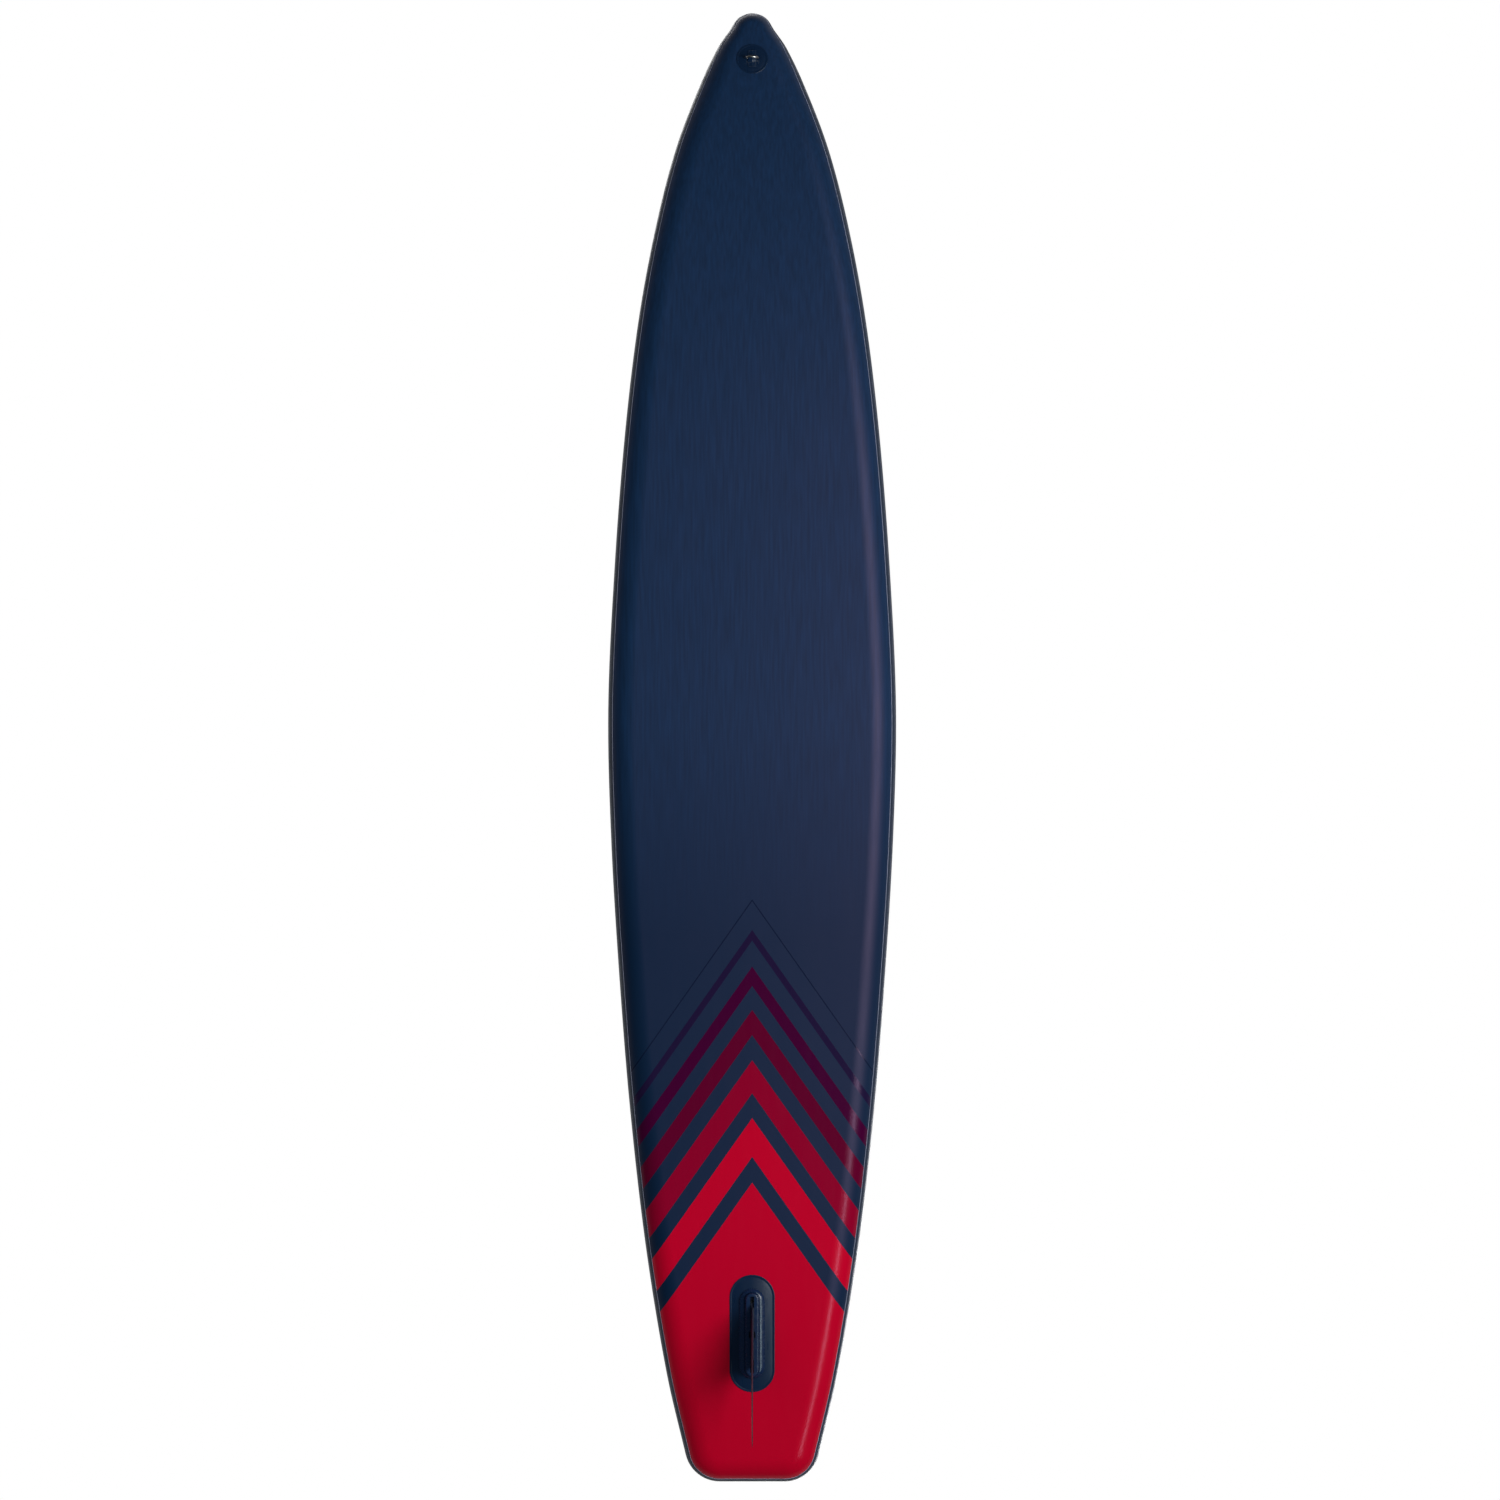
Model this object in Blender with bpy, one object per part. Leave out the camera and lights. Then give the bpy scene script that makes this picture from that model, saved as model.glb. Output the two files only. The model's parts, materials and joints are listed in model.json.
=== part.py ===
"""An inflatable touring stand up paddleboard, built from its separate pieces.

Metres. +Y runs to the nose and +Z out of the deck. The origin lies on the flat of the hull, half way
along the board, so the middle of the hull is at Z = 0 and the fin hangs below it.

The board is a chamber of two skins and a rail band, held 150 mm apart by drop-stitch thread. The skins
are made of straight strips across the board between rows of points, and every fitting is set on those
strips by deck_frame or hull_frame. Pieces that touch keep a gap of TOUCH between their meshes.
"""

import math

import bmesh
import bpy
from mathutils import Matrix, Vector

# Board
LENGTH = 3.81
THICKNESS = 0.15
TAIL_Y = -LENGTH / 2
NOSE_Y = LENGTH / 2
TOUCH = 0.0003

# Plan outline: half of the straight tail, the radius of its corner, and the angle of the side there
TAIL_FLAT = 0.084
TAIL_CORNER = 0.090
TAIL_ANGLE = math.radians(13.2)
NOSE_RADIUS = 0.056
NOSE_ANGLE = math.radians(26.0)
# Half widths of the side at distances from the tail
SIDE = (
    (0.28, 0.2205),
    (0.60, 0.273),
    (0.95, 0.3135),
    (1.30, 0.342),
    (1.65, 0.363),
    (1.99, 0.371),
    (2.35, 0.355),
    (2.70, 0.328),
    (3.00, 0.2925),
    (3.25, 0.247),
    (3.45, 0.1965),
    (3.62, 0.134),
    (3.72, 0.088),
)
CORNER_STEPS = 3
COARSE_TO = 3.25  # the side has two rows to an interval up to here, and one after

# Rocker: the hull is flat in the middle, bows up to the nose, and bends to a straight ramp at the tail
NOSE_LIFT = 0.17
NOSE_LIFT_FROM = 0.75
TAIL_LIFT_FROM = -1.10
TAIL_RAMP_FROM = -1.305
TAIL_SLOPE = 0.026

# Walls
RAIL_REACH = 0.070  # how far in from its widest line the rail meets the flat
NOSE_REACH = 0.036
NOSE_REACH_OVER = 0.20
SKIN = 0.0009
STITCH_SHEET = 0.0007
SEAM_TILT = 28.0  # degrees below and above the widest line where the skins meet the rail band
TAPE_TILT = 6.0
SKIN_TILTS = (90.0, 59.0, SEAM_TILT)
TAPE = 0.0007
CURTAIN = 0.0006
CURTAIN_PITCH = 0.11

# Deck pads
PAD = 0.005
PAD_MARGIN = 0.078
DECK_PAD_Y = (-1.18, 0.62)
TAIL_PAD_Y = (-1.50, -1.20)
PAD_CORNER = 0.055
KICK_HALF = 0.17
KICK_HEIGHT = 0.022
KICK_DEPTH = 0.055

# Tow, leash and luggage rings
WIRE = 0.0025
RING_HALF = 0.0155
RING_LEG = 0.008
BAR_HEIGHT = 0.0056
TAB_WIDTH = 0.022
TAB = 0.0014
PATCH = 0.0010
TOW_RING_Y = 1.772

# Webbing handles
WEB_WIDTH = 0.038
WEB = 0.0022
GRIP_HALF_WIDTH = 0.023
GRIP_HALF_HEIGHT = 0.011
GRIP_CENTRE = 0.0215
HANDLE_BOW = 0.016  # how far the slack webbing rises beside the grip

# Fin and its slotted box, in the box's own frame: Z away from the hull and Y forward
FIN_BOX_Y = TAIL_Y + 0.3915
FIN_PATCH_HALF = (0.058, 0.151)
FIN_PATCH = 0.0012
# Height above the patch, half width and half length of the moulding
FIN_BOX_RINGS = (
    (0.0, 0.0325, 0.1155),
    (0.004, 0.0325, 0.1155),
    (0.009, 0.0270, 0.1130),
    (0.016, 0.0195, 0.1095),
    (0.022, 0.0170, 0.1070),
    (0.024, 0.0145, 0.1045),
)
FIN_BOX_BASE = FIN_PATCH + TOUCH
FIN_BOX_TOP = FIN_BOX_BASE + 0.024
SLOT_HALF = 0.0049
SLOT_END = 0.098
SLOT_FLOOR = FIN_BOX_BASE + 0.004
GROOVE_HALF = 0.0082
GROOVE_Z = (FIN_BOX_BASE + 0.0075, FIN_BOX_BASE + 0.0135)
MOUTH_HALF_LENGTH = 0.0083
RUNNING = 0.0004
TONGUE_Y = (-0.066, 0.070)
FIN_TAB_FRONT = 0.0935
FIN_TAB_Z = (GROOVE_Z[1] + RUNNING, GROOVE_Z[1] + 0.0034)
FIN_ROOT_Z = FIN_BOX_TOP + 0.0006
FIN_DEPTH = 0.214
FIN_THICK = (0.0084, 0.0030)  # at the root and at the tip
CROSS_PIN_Y = -0.058
CROSS_PIN_RADIUS = 0.0020
CROSS_PIN_HALF = 0.0077
SCREW_Y = 0.0865
SCREW_RADIUS = 0.0020
SCREW_HEAD = 0.0044
NUT_PLATE_HALF = (0.0077, 0.0065)
NUT_PLATE_Z = (GROOVE_Z[0] + 0.0022, GROOVE_Z[1] - RUNNING)

# Inflation valve, in its own frame: Z out of the deck
VALVE_AT = (0.055, -1.60)
VALVE_HOLE = 0.0205
NECK = 0.0195
SEAT_Z = -0.014
WEB_THICK = 0.003
VALVE_DEPTH = 0.030
PLUNGER_TOP = -0.0015
CAP_PIVOT = (-0.0330, 0.0105)


def clear_scene():
    for obj in list(bpy.data.objects):
        bpy.data.objects.remove(obj)


def material(name, colour, roughness, metallic=0.0):
    mat = bpy.data.materials.new(name)
    mat.use_nodes = True
    shader = mat.node_tree.nodes["Principled BSDF"]
    shader.inputs["Base Color"].default_value = (*colour, 1.0)
    shader.inputs["Roughness"].default_value = roughness
    shader.inputs["Metallic"].default_value = metallic
    return mat


clear_scene()
NAVY = material("navy_pvc", (0.012, 0.032, 0.075), 0.45)
NAVY_BAND = material("navy_rail_pvc", (0.010, 0.022, 0.050), 0.40)
DECK = material("deck_pvc", (0.62, 0.64, 0.66), 0.45)
STITCH = material("drop_stitch_polyester", (0.78, 0.78, 0.75), 0.85)
FOAM = material("eva_foam", (0.045, 0.075, 0.13), 0.80)
FOAM_KICK = material("eva_kick_foam", (0.55, 0.02, 0.04), 0.80)
WEBBING = material("black_webbing", (0.012, 0.012, 0.014), 0.80)
NEOPRENE = material("neoprene", (0.02, 0.02, 0.022), 0.90)
STEEL = material("stainless_steel", (0.72, 0.71, 0.68), 0.22, 1.0)
MOULDED = material("moulded_navy_plastic", (0.010, 0.024, 0.055), 0.30)
FIN_PLASTIC = material("fin_plastic", (0.010, 0.020, 0.045), 0.30)
GREY_PLASTIC = material("grey_valve_plastic", (0.10, 0.105, 0.11), 0.40)
RUBBER = material("black_rubber", (0.015, 0.015, 0.015), 0.75)


# --- Making solids ---------------------------------------------------------------------------


def add_solid(name, points, faces, mat, frame=None, sharp=30.0):
    """An object from a closed set of faces, turned to face out and shaded smooth."""
    mesh = bpy.data.meshes.new(name)
    mesh.from_pydata([tuple(p) for p in points], [], faces)
    work = bmesh.new()
    work.from_mesh(mesh)
    bmesh.ops.recalc_face_normals(work, faces=work.faces)
    work.to_mesh(mesh)
    work.free()
    mesh.shade_smooth()
    mesh.set_sharp_from_angle(angle=math.radians(sharp))
    mesh.materials.append(mat)
    obj = bpy.data.objects.new(name, mesh)
    obj.matrix_world = frame or Matrix()
    bpy.context.scene.collection.objects.link(obj)
    return obj


def boolean(obj, other, operation):
    """Cuts another object out of obj or joins it to obj. The other is left as a hidden tool."""
    change = obj.modifiers.new(f"{operation.lower()}_{other.name}", "BOOLEAN")
    change.operation = operation
    change.object = other
    other.hide_render = True
    other.display_type = "WIRE"


def bridged(rings, closed_loop=False):
    """Quads between rings of the same number of points, whose points are numbered one ring after the next."""
    count = len(rings[0])
    faces = []
    for k in range(len(rings) - (not closed_loop)):
        here, there = k * count, (k + 1) % len(rings) * count
        for j in range(count):
            nxt = (j + 1) % count
            faces.append((here + j, here + nxt, there + nxt, there + j))
    return faces


def loft(name, rings, mat, frame=None, closed_loop=False, sharp=30.0):
    """A solid through rings of points, with a flat face over each end unless they close on themselves."""
    count = len(rings[0])
    points = [p for ring in rings for p in ring]
    faces = bridged(rings, closed_loop)
    if not closed_loop:
        faces.append(tuple(range(count)))
        faces.append(tuple(range(len(points) - count, len(points))))
    return add_solid(name, points, faces, mat, frame, sharp)


def lathe(name, profile, mat, frame=None, steps=20, axis="Z", ring=True, sharp=30.0):
    """A turned solid. The profile holds (radius, height) points round a ring, or from pole to pole."""
    turned = []
    for k in range(steps):
        angle = 2 * math.pi * k / steps
        turned.append([(r * math.cos(angle), r * math.sin(angle), z) for r, z in profile])
    size = len(profile)
    if ring:
        points = [p for one in turned for p in one]
        faces = bridged(turned, closed_loop=True)
    else:
        inner = size - 2
        points = [p for one in turned for p in one[1:-1]]
        first, last = len(points), len(points) + 1
        points += [(0, 0, profile[0][1]), (0, 0, profile[-1][1])]
        faces = []
        for k in range(steps):
            here, there = k * inner, (k + 1) % steps * inner
            faces.append((first, here, there))
            faces.append((last, there + inner - 1, here + inner - 1))
            for j in range(inner - 1):
                faces.append((here + j, here + j + 1, there + j + 1, there + j))
    if axis == "X":
        points = [(z, y, -x) for x, y, z in points]
    return add_solid(name, points, faces, mat, frame, sharp)


def box(name, low, high, mat, frame=None):
    corners = [(x, y, z) for z in (low[2], high[2]) for x, y in (
        (low[0], low[1]), (high[0], low[1]), (high[0], high[1]), (low[0], high[1]))]
    return loft(name, [corners[:4], corners[4:]], mat, frame)


def strap(name, path, width, thick, mat, frame=None):
    """Flat webbing along a path of (y, z) points, with its width along X."""
    rings = []
    for k, (y, z) in enumerate(path):
        before, after = path[max(k - 1, 0)], path[min(k + 1, len(path) - 1)]
        along = Vector((after[0] - before[0], after[1] - before[1])).normalized()
        up = Vector((-along[1], along[0])) * thick / 2
        low, high = (y - up[0], z - up[1]), (y + up[0], z + up[1])
        rings.append([
            (-width / 2, *low), (width / 2, *low), (width / 2, *high), (-width / 2, *high)])
    return loft(name, rings, mat, frame)


def wire(name, path, radius, mat, frame=None, sides=8, closed_loop=True):
    """A round wire along a path of 3D points."""
    count = len(path)
    rings = []
    side = Vector((0, 0, 1))
    for k in range(count):
        if closed_loop:
            along = Vector(path[(k + 1) % count]) - Vector(path[k - 1])
        else:
            along = Vector(path[min(k + 1, count - 1)]) - Vector(path[max(k - 1, 0)])
        along.normalize()
        side = (side - along * side.dot(along)).normalized()
        other = along.cross(side)
        rings.append([
            Vector(path[k]) + radius * (
                math.cos(2 * math.pi * j / sides) * side + math.sin(2 * math.pi * j / sides) * other)
            for j in range(sides)])
    return loft(name, rings, mat, frame, closed_loop, sharp=60.0)


def stadium(half_width, half_length, z, steps=6):
    """Points round a slot shape whose straight sides run along Y."""
    straight = half_length - half_width
    points = []
    for end in (1, -1):
        for k in range(steps + 1):
            angle = math.pi * k / steps + (0 if end > 0 else math.pi)
            points.append((half_width * math.cos(angle), end * straight + half_width * math.sin(angle), z))
    return points


# --- The board's surface ---------------------------------------------------------------------


def side_slopes(knots):
    """The slope of the side at each knot: set at both ends, and the mean of its neighbours between."""
    slopes = [math.tan(TAIL_ANGLE)]
    for before, after in zip(knots, knots[2:]):
        slopes.append((after[1] - before[1]) / (after[0] - before[0]))
    return slopes + [-math.tan(NOSE_ANGLE)]


def arc_points(centre, radius, start, end, steps):
    """Points along an arc, without its last one."""
    found = []
    for k in range(steps):
        angle = start + (end - start) * k / steps
        found.append(Vector((centre[0] + radius * math.cos(angle), centre[1] + radius * math.sin(angle))))
    return found


def half_outline():
    """The right-hand half of the plan outline, from the tail's corner to the tip of the nose."""
    tail_centre = (TAIL_FLAT, TAIL_Y + TAIL_CORNER)
    nose_centre = (0.0, NOSE_Y - NOSE_RADIUS)
    start = (
        tail_centre[1] - TAIL_CORNER * math.sin(TAIL_ANGLE) - TAIL_Y,
        tail_centre[0] + TAIL_CORNER * math.cos(TAIL_ANGLE),
    )
    end = (
        nose_centre[1] + NOSE_RADIUS * math.sin(NOSE_ANGLE) - TAIL_Y,
        NOSE_RADIUS * math.cos(NOSE_ANGLE),
    )
    knots = [start, *SIDE, end]
    slopes = side_slopes(knots)
    points = arc_points(tail_centre, TAIL_CORNER, -math.pi / 2, -TAIL_ANGLE, CORNER_STEPS)
    for k in range(len(knots) - 1):
        (s0, w0), (s1, w1) = knots[k], knots[k + 1]
        span = s1 - s0
        for t in (0.0, 0.5) if s1 <= COARSE_TO else (0.0,):
            width = (
                (2 * t**3 - 3 * t**2 + 1) * w0 + (t**3 - 2 * t**2 + t) * span * slopes[k]
                + (3 * t**2 - 2 * t**3) * w1 + (t**3 - t**2) * span * slopes[k + 1])
            points.append(Vector((width, TAIL_Y + s0 + span * t)))
    points += arc_points(nose_centre, NOSE_RADIUS, NOSE_ANGLE, math.pi / 2, CORNER_STEPS)
    return points + [Vector((0.0, NOSE_Y))]


def inward(points, k):
    """The direction into the board at a point of the half outline."""
    if k == 0:
        return Vector((0.0, 1.0))
    if k == len(points) - 1:
        return Vector((0.0, -1.0))
    along = (points[k] - points[k - 1]).normalized() + (points[k + 1] - points[k]).normalized()
    return Vector((-along[1], along[0])).normalized()


def reach_at(y):
    """How far in the rail's curve reaches: less towards the nose, where the sides draw together."""
    t = min((NOSE_Y - y) / NOSE_REACH_OVER, 1.0)
    return NOSE_REACH + (RAIL_REACH - NOSE_REACH) * t * t * (3 - 2 * t)


def rocker(y):
    """How far the board has curved up at y."""
    if y > NOSE_LIFT_FROM:
        return NOSE_LIFT * ((y - NOSE_LIFT_FROM) / (NOSE_Y - NOSE_LIFT_FROM)) ** 2
    bend = TAIL_LIFT_FROM - TAIL_RAMP_FROM
    if y < TAIL_RAMP_FROM:
        return TAIL_SLOPE * (bend / 2 + TAIL_RAMP_FROM - y)
    if y < TAIL_LIFT_FROM:
        return TAIL_SLOPE * (TAIL_LIFT_FROM - y) ** 2 / (2 * bend)
    return 0.0


HALF = half_outline()
ROWS = len(HALF)


def wall_ring(depth, tilt):
    """Points round the board, at a depth inside its outer surface. The tilt is 90 degrees at the edge of
    the hull's flat, 0 on the rail's widest line and -90 at the edge of the deck's flat."""
    cos, sin = math.cos(math.radians(tilt)), math.sin(math.radians(tilt))
    right = []
    for k, point in enumerate(HALF):
        inset = depth + (reach_at(point[1]) - depth) * (1 - cos)
        x, y = point + inward(HALF, k) * inset
        right.append((x, y, THICKNESS / 2 - (THICKNESS / 2 - depth) * sin + rocker(y)))
    return right + [(-x, y, z) for x, y, z in reversed(right[:-1])]


FLAT_ROWS = [(y, rocker(y)) for x, y, z in wall_ring(0.0, 90.0)[:ROWS]]


def skin_height(y):
    """The height of the hull's facets over its flat, read along the rows that they run between."""
    for (y0, z0), (y1, z1) in zip(FLAT_ROWS, FLAT_ROWS[1:]):
        if y <= y1:
            return z0 + (z1 - z0) * (y - y0) / (y1 - y0)
    return FLAT_ROWS[-1][1]


def half_width(y):
    """The plan outline's half width at y."""
    for low, high in zip(HALF, HALF[1:]):
        if low[1] <= y <= high[1] and high[1] > low[1]:
            return low[0] + (high[0] - low[0]) * (y - low[1]) / (high[1] - low[1])
    return 0.0


def across(start, rows=ROWS):
    """Strips from side to side over a ring whose points go up the right and down the left."""
    last = 2 * rows - 2
    faces = []
    for k in range(rows - 1):
        face = [start + k, start + k + 1, start + last - k - 1, start + last - k]
        faces.append(tuple(dict.fromkeys(face)))
    return faces


def skin_solid(name, rings, mat):
    """A shell through rings round the board, closed by strips over its first and its last ring."""
    points = [p for ring in rings for p in ring]
    faces = bridged(rings) + across(0) + across(len(points) - len(rings[0]))
    return add_solid(name, points, faces, mat, sharp=40.0)


def deck_frame(x, y, length, turn=0.0):
    """A frame on the deck for a fitting that is that long along the board: Z out of the deck, Y forward."""
    back, fore = skin_height(y - length / 2), skin_height(y + length / 2)
    place = Matrix.Translation((x, y, THICKNESS + (back + fore) / 2 + TOUCH))
    lean = Matrix.Rotation(math.atan2(fore - back, length), 4, "X")
    return place @ lean @ Matrix.Rotation(math.radians(turn), 4, "Z")


def hull_frame(x, y, length):
    """The same under the hull, with Z out of the hull and X to port. It touches the hull's lowest edge."""
    low, high = y - length / 2, y + length / 2
    slope = (skin_height(high) - skin_height(low)) / length
    edges = [low, high] + [row for row, _ in FLAT_ROWS if low < row < high]
    drop = min(skin_height(edge) - slope * (edge - y) for edge in edges)
    place = Matrix.Translation((x, y, drop - TOUCH))
    return place @ Matrix.Rotation(math.atan(slope), 4, "X") @ Matrix.Rotation(math.pi, 4, "Y")


# --- The chamber -----------------------------------------------------------------------------


def make_skins():
    skins = []
    for name, side, look in (("hull_skin", 1, NAVY), ("deck_skin", -1, DECK)):
        outer = [wall_ring(0.0, side * tilt) for tilt in SKIN_TILTS]
        inner = [wall_ring(SKIN, side * tilt) for tilt in reversed(SKIN_TILTS)]
        skins.append(skin_solid(name, outer + inner, look))
    return skins


def make_rail():
    """The band between the skins, a little short of each, and the tapes over the two seams."""
    edge = SEAM_TILT - 0.3
    tilts = (edge, 12.0, 0.0, -12.0, -edge)
    rings = [wall_ring(0.0, t) for t in tilts] + [wall_ring(SKIN, t) for t in reversed(tilts)]
    points = [p for ring in rings for p in ring]
    add_solid("rail_band", points, bridged(rings, True), NAVY_BAND, sharp=40.0)
    for name, side in (("hull_seam_tape", 1), ("deck_seam_tape", -1)):
        tilts = [side * (SEAM_TILT + d) for d in (TAPE_TILT, 0.0, -TAPE_TILT)]
        rings = [wall_ring(-TOUCH - TAPE, t) for t in tilts]
        rings += [wall_ring(-TOUCH, t) for t in reversed(tilts)]
        points = [p for ring in rings for p in ring]
        add_solid(name, points, bridged(rings, True), NAVY_BAND, sharp=40.0)


def make_stitch():
    """The two woven sheets inside the skins, and rows of thread between them as thin curtains."""
    outer, inner = SKIN + TOUCH, SKIN + TOUCH + STITCH_SHEET
    skin_solid("stitch_sheet_hull", [wall_ring(outer, 90.0), wall_ring(inner, 90.0)], STITCH)
    upper = skin_solid("stitch_sheet_deck", [wall_ring(outer, -90.0), wall_ring(inner, -90.0)], STITCH)
    foot = inner + TOUCH
    for k in range(-2, 3):
        x = k * CURTAIN_PITCH
        rows = [(y, z) for y, z in FLAT_ROWS if half_width(y) - RAIL_REACH > abs(x) + 0.03]
        rings = []
        for y, z in rows:
            low, high = z + foot, z + THICKNESS - foot
            rings.append([
                (x - CURTAIN / 2, y, low), (x + CURTAIN / 2, y, low),
                (x + CURTAIN / 2, y, high), (x - CURTAIN / 2, y, high)])
        loft(f"thread_curtain_{k + 3}", rings, STITCH)
    return upper


# --- Deck pads -------------------------------------------------------------------------------


def pad_outline(low, high):
    """The right-hand edge of a pad between two places along the board, with rounded corners."""
    steps = [PAD_CORNER * (1 - math.cos(math.pi / 2 * k / 3)) for k in range(4)]
    stations = [low + d for d in steps] + [high - d for d in steps]
    stations += [y for y, _ in FLAT_ROWS if low + PAD_CORNER < y < high - PAD_CORNER]
    found = []
    for y in sorted(stations):
        short = PAD_CORNER - min(y - low, high - y, PAD_CORNER)
        corner = PAD_CORNER - math.sqrt(PAD_CORNER**2 - short**2)
        found.append((half_width(y) - PAD_MARGIN - corner, y))
    return found


def make_pad(name, low, high, mat):
    right = pad_outline(low, high)
    rings = []
    for height in (TOUCH, TOUCH + PAD):
        side = [(x, y, THICKNESS + skin_height(y) + height) for x, y in right]
        rings.append(side + [(-x, y, z) for x, y, z in reversed(side)])
    points = [p for ring in rings for p in ring]
    count, rows = len(rings[0]), len(right)
    faces = bridged(rings)
    for start in (0, count):
        for k in range(rows - 1):
            faces.append((
                start + k, start + k + 1, start + count - 2 - k, start + count - 1 - k))
    return add_solid(name, points, faces, mat)


def make_kick_pad():
    """A foam ridge across the back of the tail pad, steep behind and sloped in front."""
    frame = deck_frame(0.0, TAIL_PAD_Y[0] + 0.045, 0.09)
    base = PAD + TOUCH
    section = ((-0.5, 0.0), (0.5, 0.0), (0.30, 0.35), (-0.05, 0.92), (-0.22, 1.0), (-0.38, 0.88))
    rings = []
    for k in range(-4, 5):
        x = KICK_HALF * k / 4
        taper = 1 - 0.35 * (k / 4) ** 4
        bow = 0.016 * (k / 4) ** 2
        rings.append([
            (x, bow + KICK_DEPTH * u * taper, base + KICK_HEIGHT * v * taper) for u, v in section])
    return loft("kick_pad", rings, FOAM_KICK, frame)


# --- Rings -----------------------------------------------------------------------------------


def ring_path():
    """The middle of a D-shaped wire in its own plane, with the bar along X through the origin."""
    corner = 0.003
    bow = [
        (RING_HALF * math.cos(math.pi * k / 6), RING_LEG + RING_HALF * math.sin(math.pi * k / 6), 0.0)
        for k in range(7)]
    bar = [(-RING_HALF, corner, 0.0), (corner - RING_HALF, 0.0, 0.0)]
    bar += [(RING_HALF - corner, 0.0, 0.0), (RING_HALF, corner, 0.0)]
    return bow + bar


def make_ring(name, frame, patch_radius, stand):
    """A D-ring held to a round patch by a tab over its bar. It lies along local Y and is then turned."""
    outline = [(patch_radius, 0.0), (patch_radius, PATCH * 0.6), (patch_radius - 0.0012, PATCH)]
    lathe(f"{name}_patch", [(0, 0), *outline, (0, PATCH)], NAVY, frame, steps=24, ring=False)
    over = WIRE + RUNNING + TAB / 2
    foot = PATCH + TOUCH + TAB / 2
    path = [(-0.024, foot), (-0.0085, foot)]
    path += [(-over * math.cos(math.pi * k / 5), BAR_HEIGHT + over * math.sin(math.pi * k / 5))
             for k in range(6)]
    path += [(0.0085, foot), (0.024, foot)]
    strap(f"{name}_tab", path, TAB_WIDTH, TAB, NAVY, frame)
    hinge = frame @ Matrix.Translation((0, 0, BAR_HEIGHT)) @ stand
    wire(f"{name}_ring", ring_path(), WIRE, STEEL, hinge)


def make_rings():
    """The tow ring hangs straight down under the nose, and the deck's rings lie flat."""
    tow = hull_frame(0.0, TOW_RING_Y, 0.082)
    lean = math.asin(tow.col[1][2])
    make_ring("tow", tow, 0.041, Matrix.Rotation(math.pi / 2 + lean, 4, "X"))
    flat = Matrix()
    make_ring("leash", deck_frame(0.0, -1.705, 0.07, 180.0), 0.035, flat)
    for name, x, y in (("bow_aft", 0.165, 0.86), ("bow_fore", 0.110, 1.28)):
        for side, sign in (("starboard", 1), ("port", -1)):
            make_ring(f"{name}_{side}", deck_frame(sign * x, y, 0.07, -90.0 * sign), 0.035, flat)


# --- Handles ---------------------------------------------------------------------------------


def handle_path(anchor, grip):
    """The webbing from one anchor, over its slack bow, through the grip and down to the other anchor."""
    foot = PATCH + TOUCH + WEB / 2
    half = [(grip / 2, GRIP_CENTRE)]
    for k in range(1, 7):
        t = k / 6
        height = GRIP_CENTRE + (foot - GRIP_CENTRE) * t * t * (3 - 2 * t)
        half.append((grip / 2 + (anchor - 0.014 - grip / 2) * t, height + HANDLE_BOW * math.sin(math.pi * t)))
    half += [(anchor + 0.016, foot)]
    return [(-y, z) for y, z in reversed(half)] + half


def make_handle(name, frame, anchor, grip, patch_radius):
    """A webbing handle along local Y with a padded grip, sewn to a patch at each end."""
    for end, sign in (("fore", 1), ("aft", -1)):
        place = frame @ Matrix.Translation((0, sign * anchor, 0))
        outline = [(patch_radius, 0.0), (patch_radius, PATCH * 0.6), (patch_radius - 0.0012, PATCH)]
        lathe(f"{name}_patch_{end}", [(0, 0), *outline, (0, PATCH)], NAVY, place, steps=20, ring=False)
    strap(f"{name}_webbing", handle_path(anchor, grip), WEB_WIDTH, WEB, WEBBING, frame)
    rings = []
    hole = (WEB_WIDTH / 2 + TOUCH, WEB / 2 + TOUCH)
    for scale, y in ((0.86, -0.5), (1.0, -0.42), (1.0, 0.42), (0.86, 0.5)):
        rings.append([
            (GRIP_HALF_WIDTH * scale * math.cos(math.pi * k / 6), y * (grip - 0.004),
             GRIP_CENTRE + GRIP_HALF_HEIGHT * scale * math.sin(math.pi * k / 6)) for k in range(12)])
    sleeve = loft(f"{name}_grip", rings, NEOPRENE, frame)
    low = (-hole[0], -grip, GRIP_CENTRE - hole[1])
    high = (hole[0], grip, GRIP_CENTRE + hole[1])
    boolean(sleeve, box(f"{name}_grip_cutter", low, high, WEBBING, frame), "DIFFERENCE")


# --- Fin -------------------------------------------------------------------------------------


def make_fin_box(frame):
    """The slot has a groove on both sides, and widens at the middle to let the plate in."""
    rings = [stadium(*FIN_PATCH_HALF, 0.0, 8), stadium(*FIN_PATCH_HALF, FIN_PATCH, 8)]
    loft("fin_box_patch", rings, NAVY, frame)
    rings = [stadium(half, length, FIN_BOX_BASE + height) for height, half, length in FIN_BOX_RINGS]
    moulding = loft("fin_box", rings, MOULDED, frame)
    over = FIN_BOX_TOP + 0.01
    for name, half, end, low, high in (
        ("slot_cutter", SLOT_HALF, SLOT_END, SLOT_FLOOR, over),
        ("groove_cutter", GROOVE_HALF, SLOT_END, *GROOVE_Z),
        ("mouth_cutter", GROOVE_HALF + 0.0001, MOUTH_HALF_LENGTH, GROOVE_Z[0] + 0.0001, over),
    ):
        cutter = box(name, (-half, -end, low), (half, end, high), MOULDED, frame)
        boolean(moulding, cutter, "DIFFERENCE")


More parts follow.
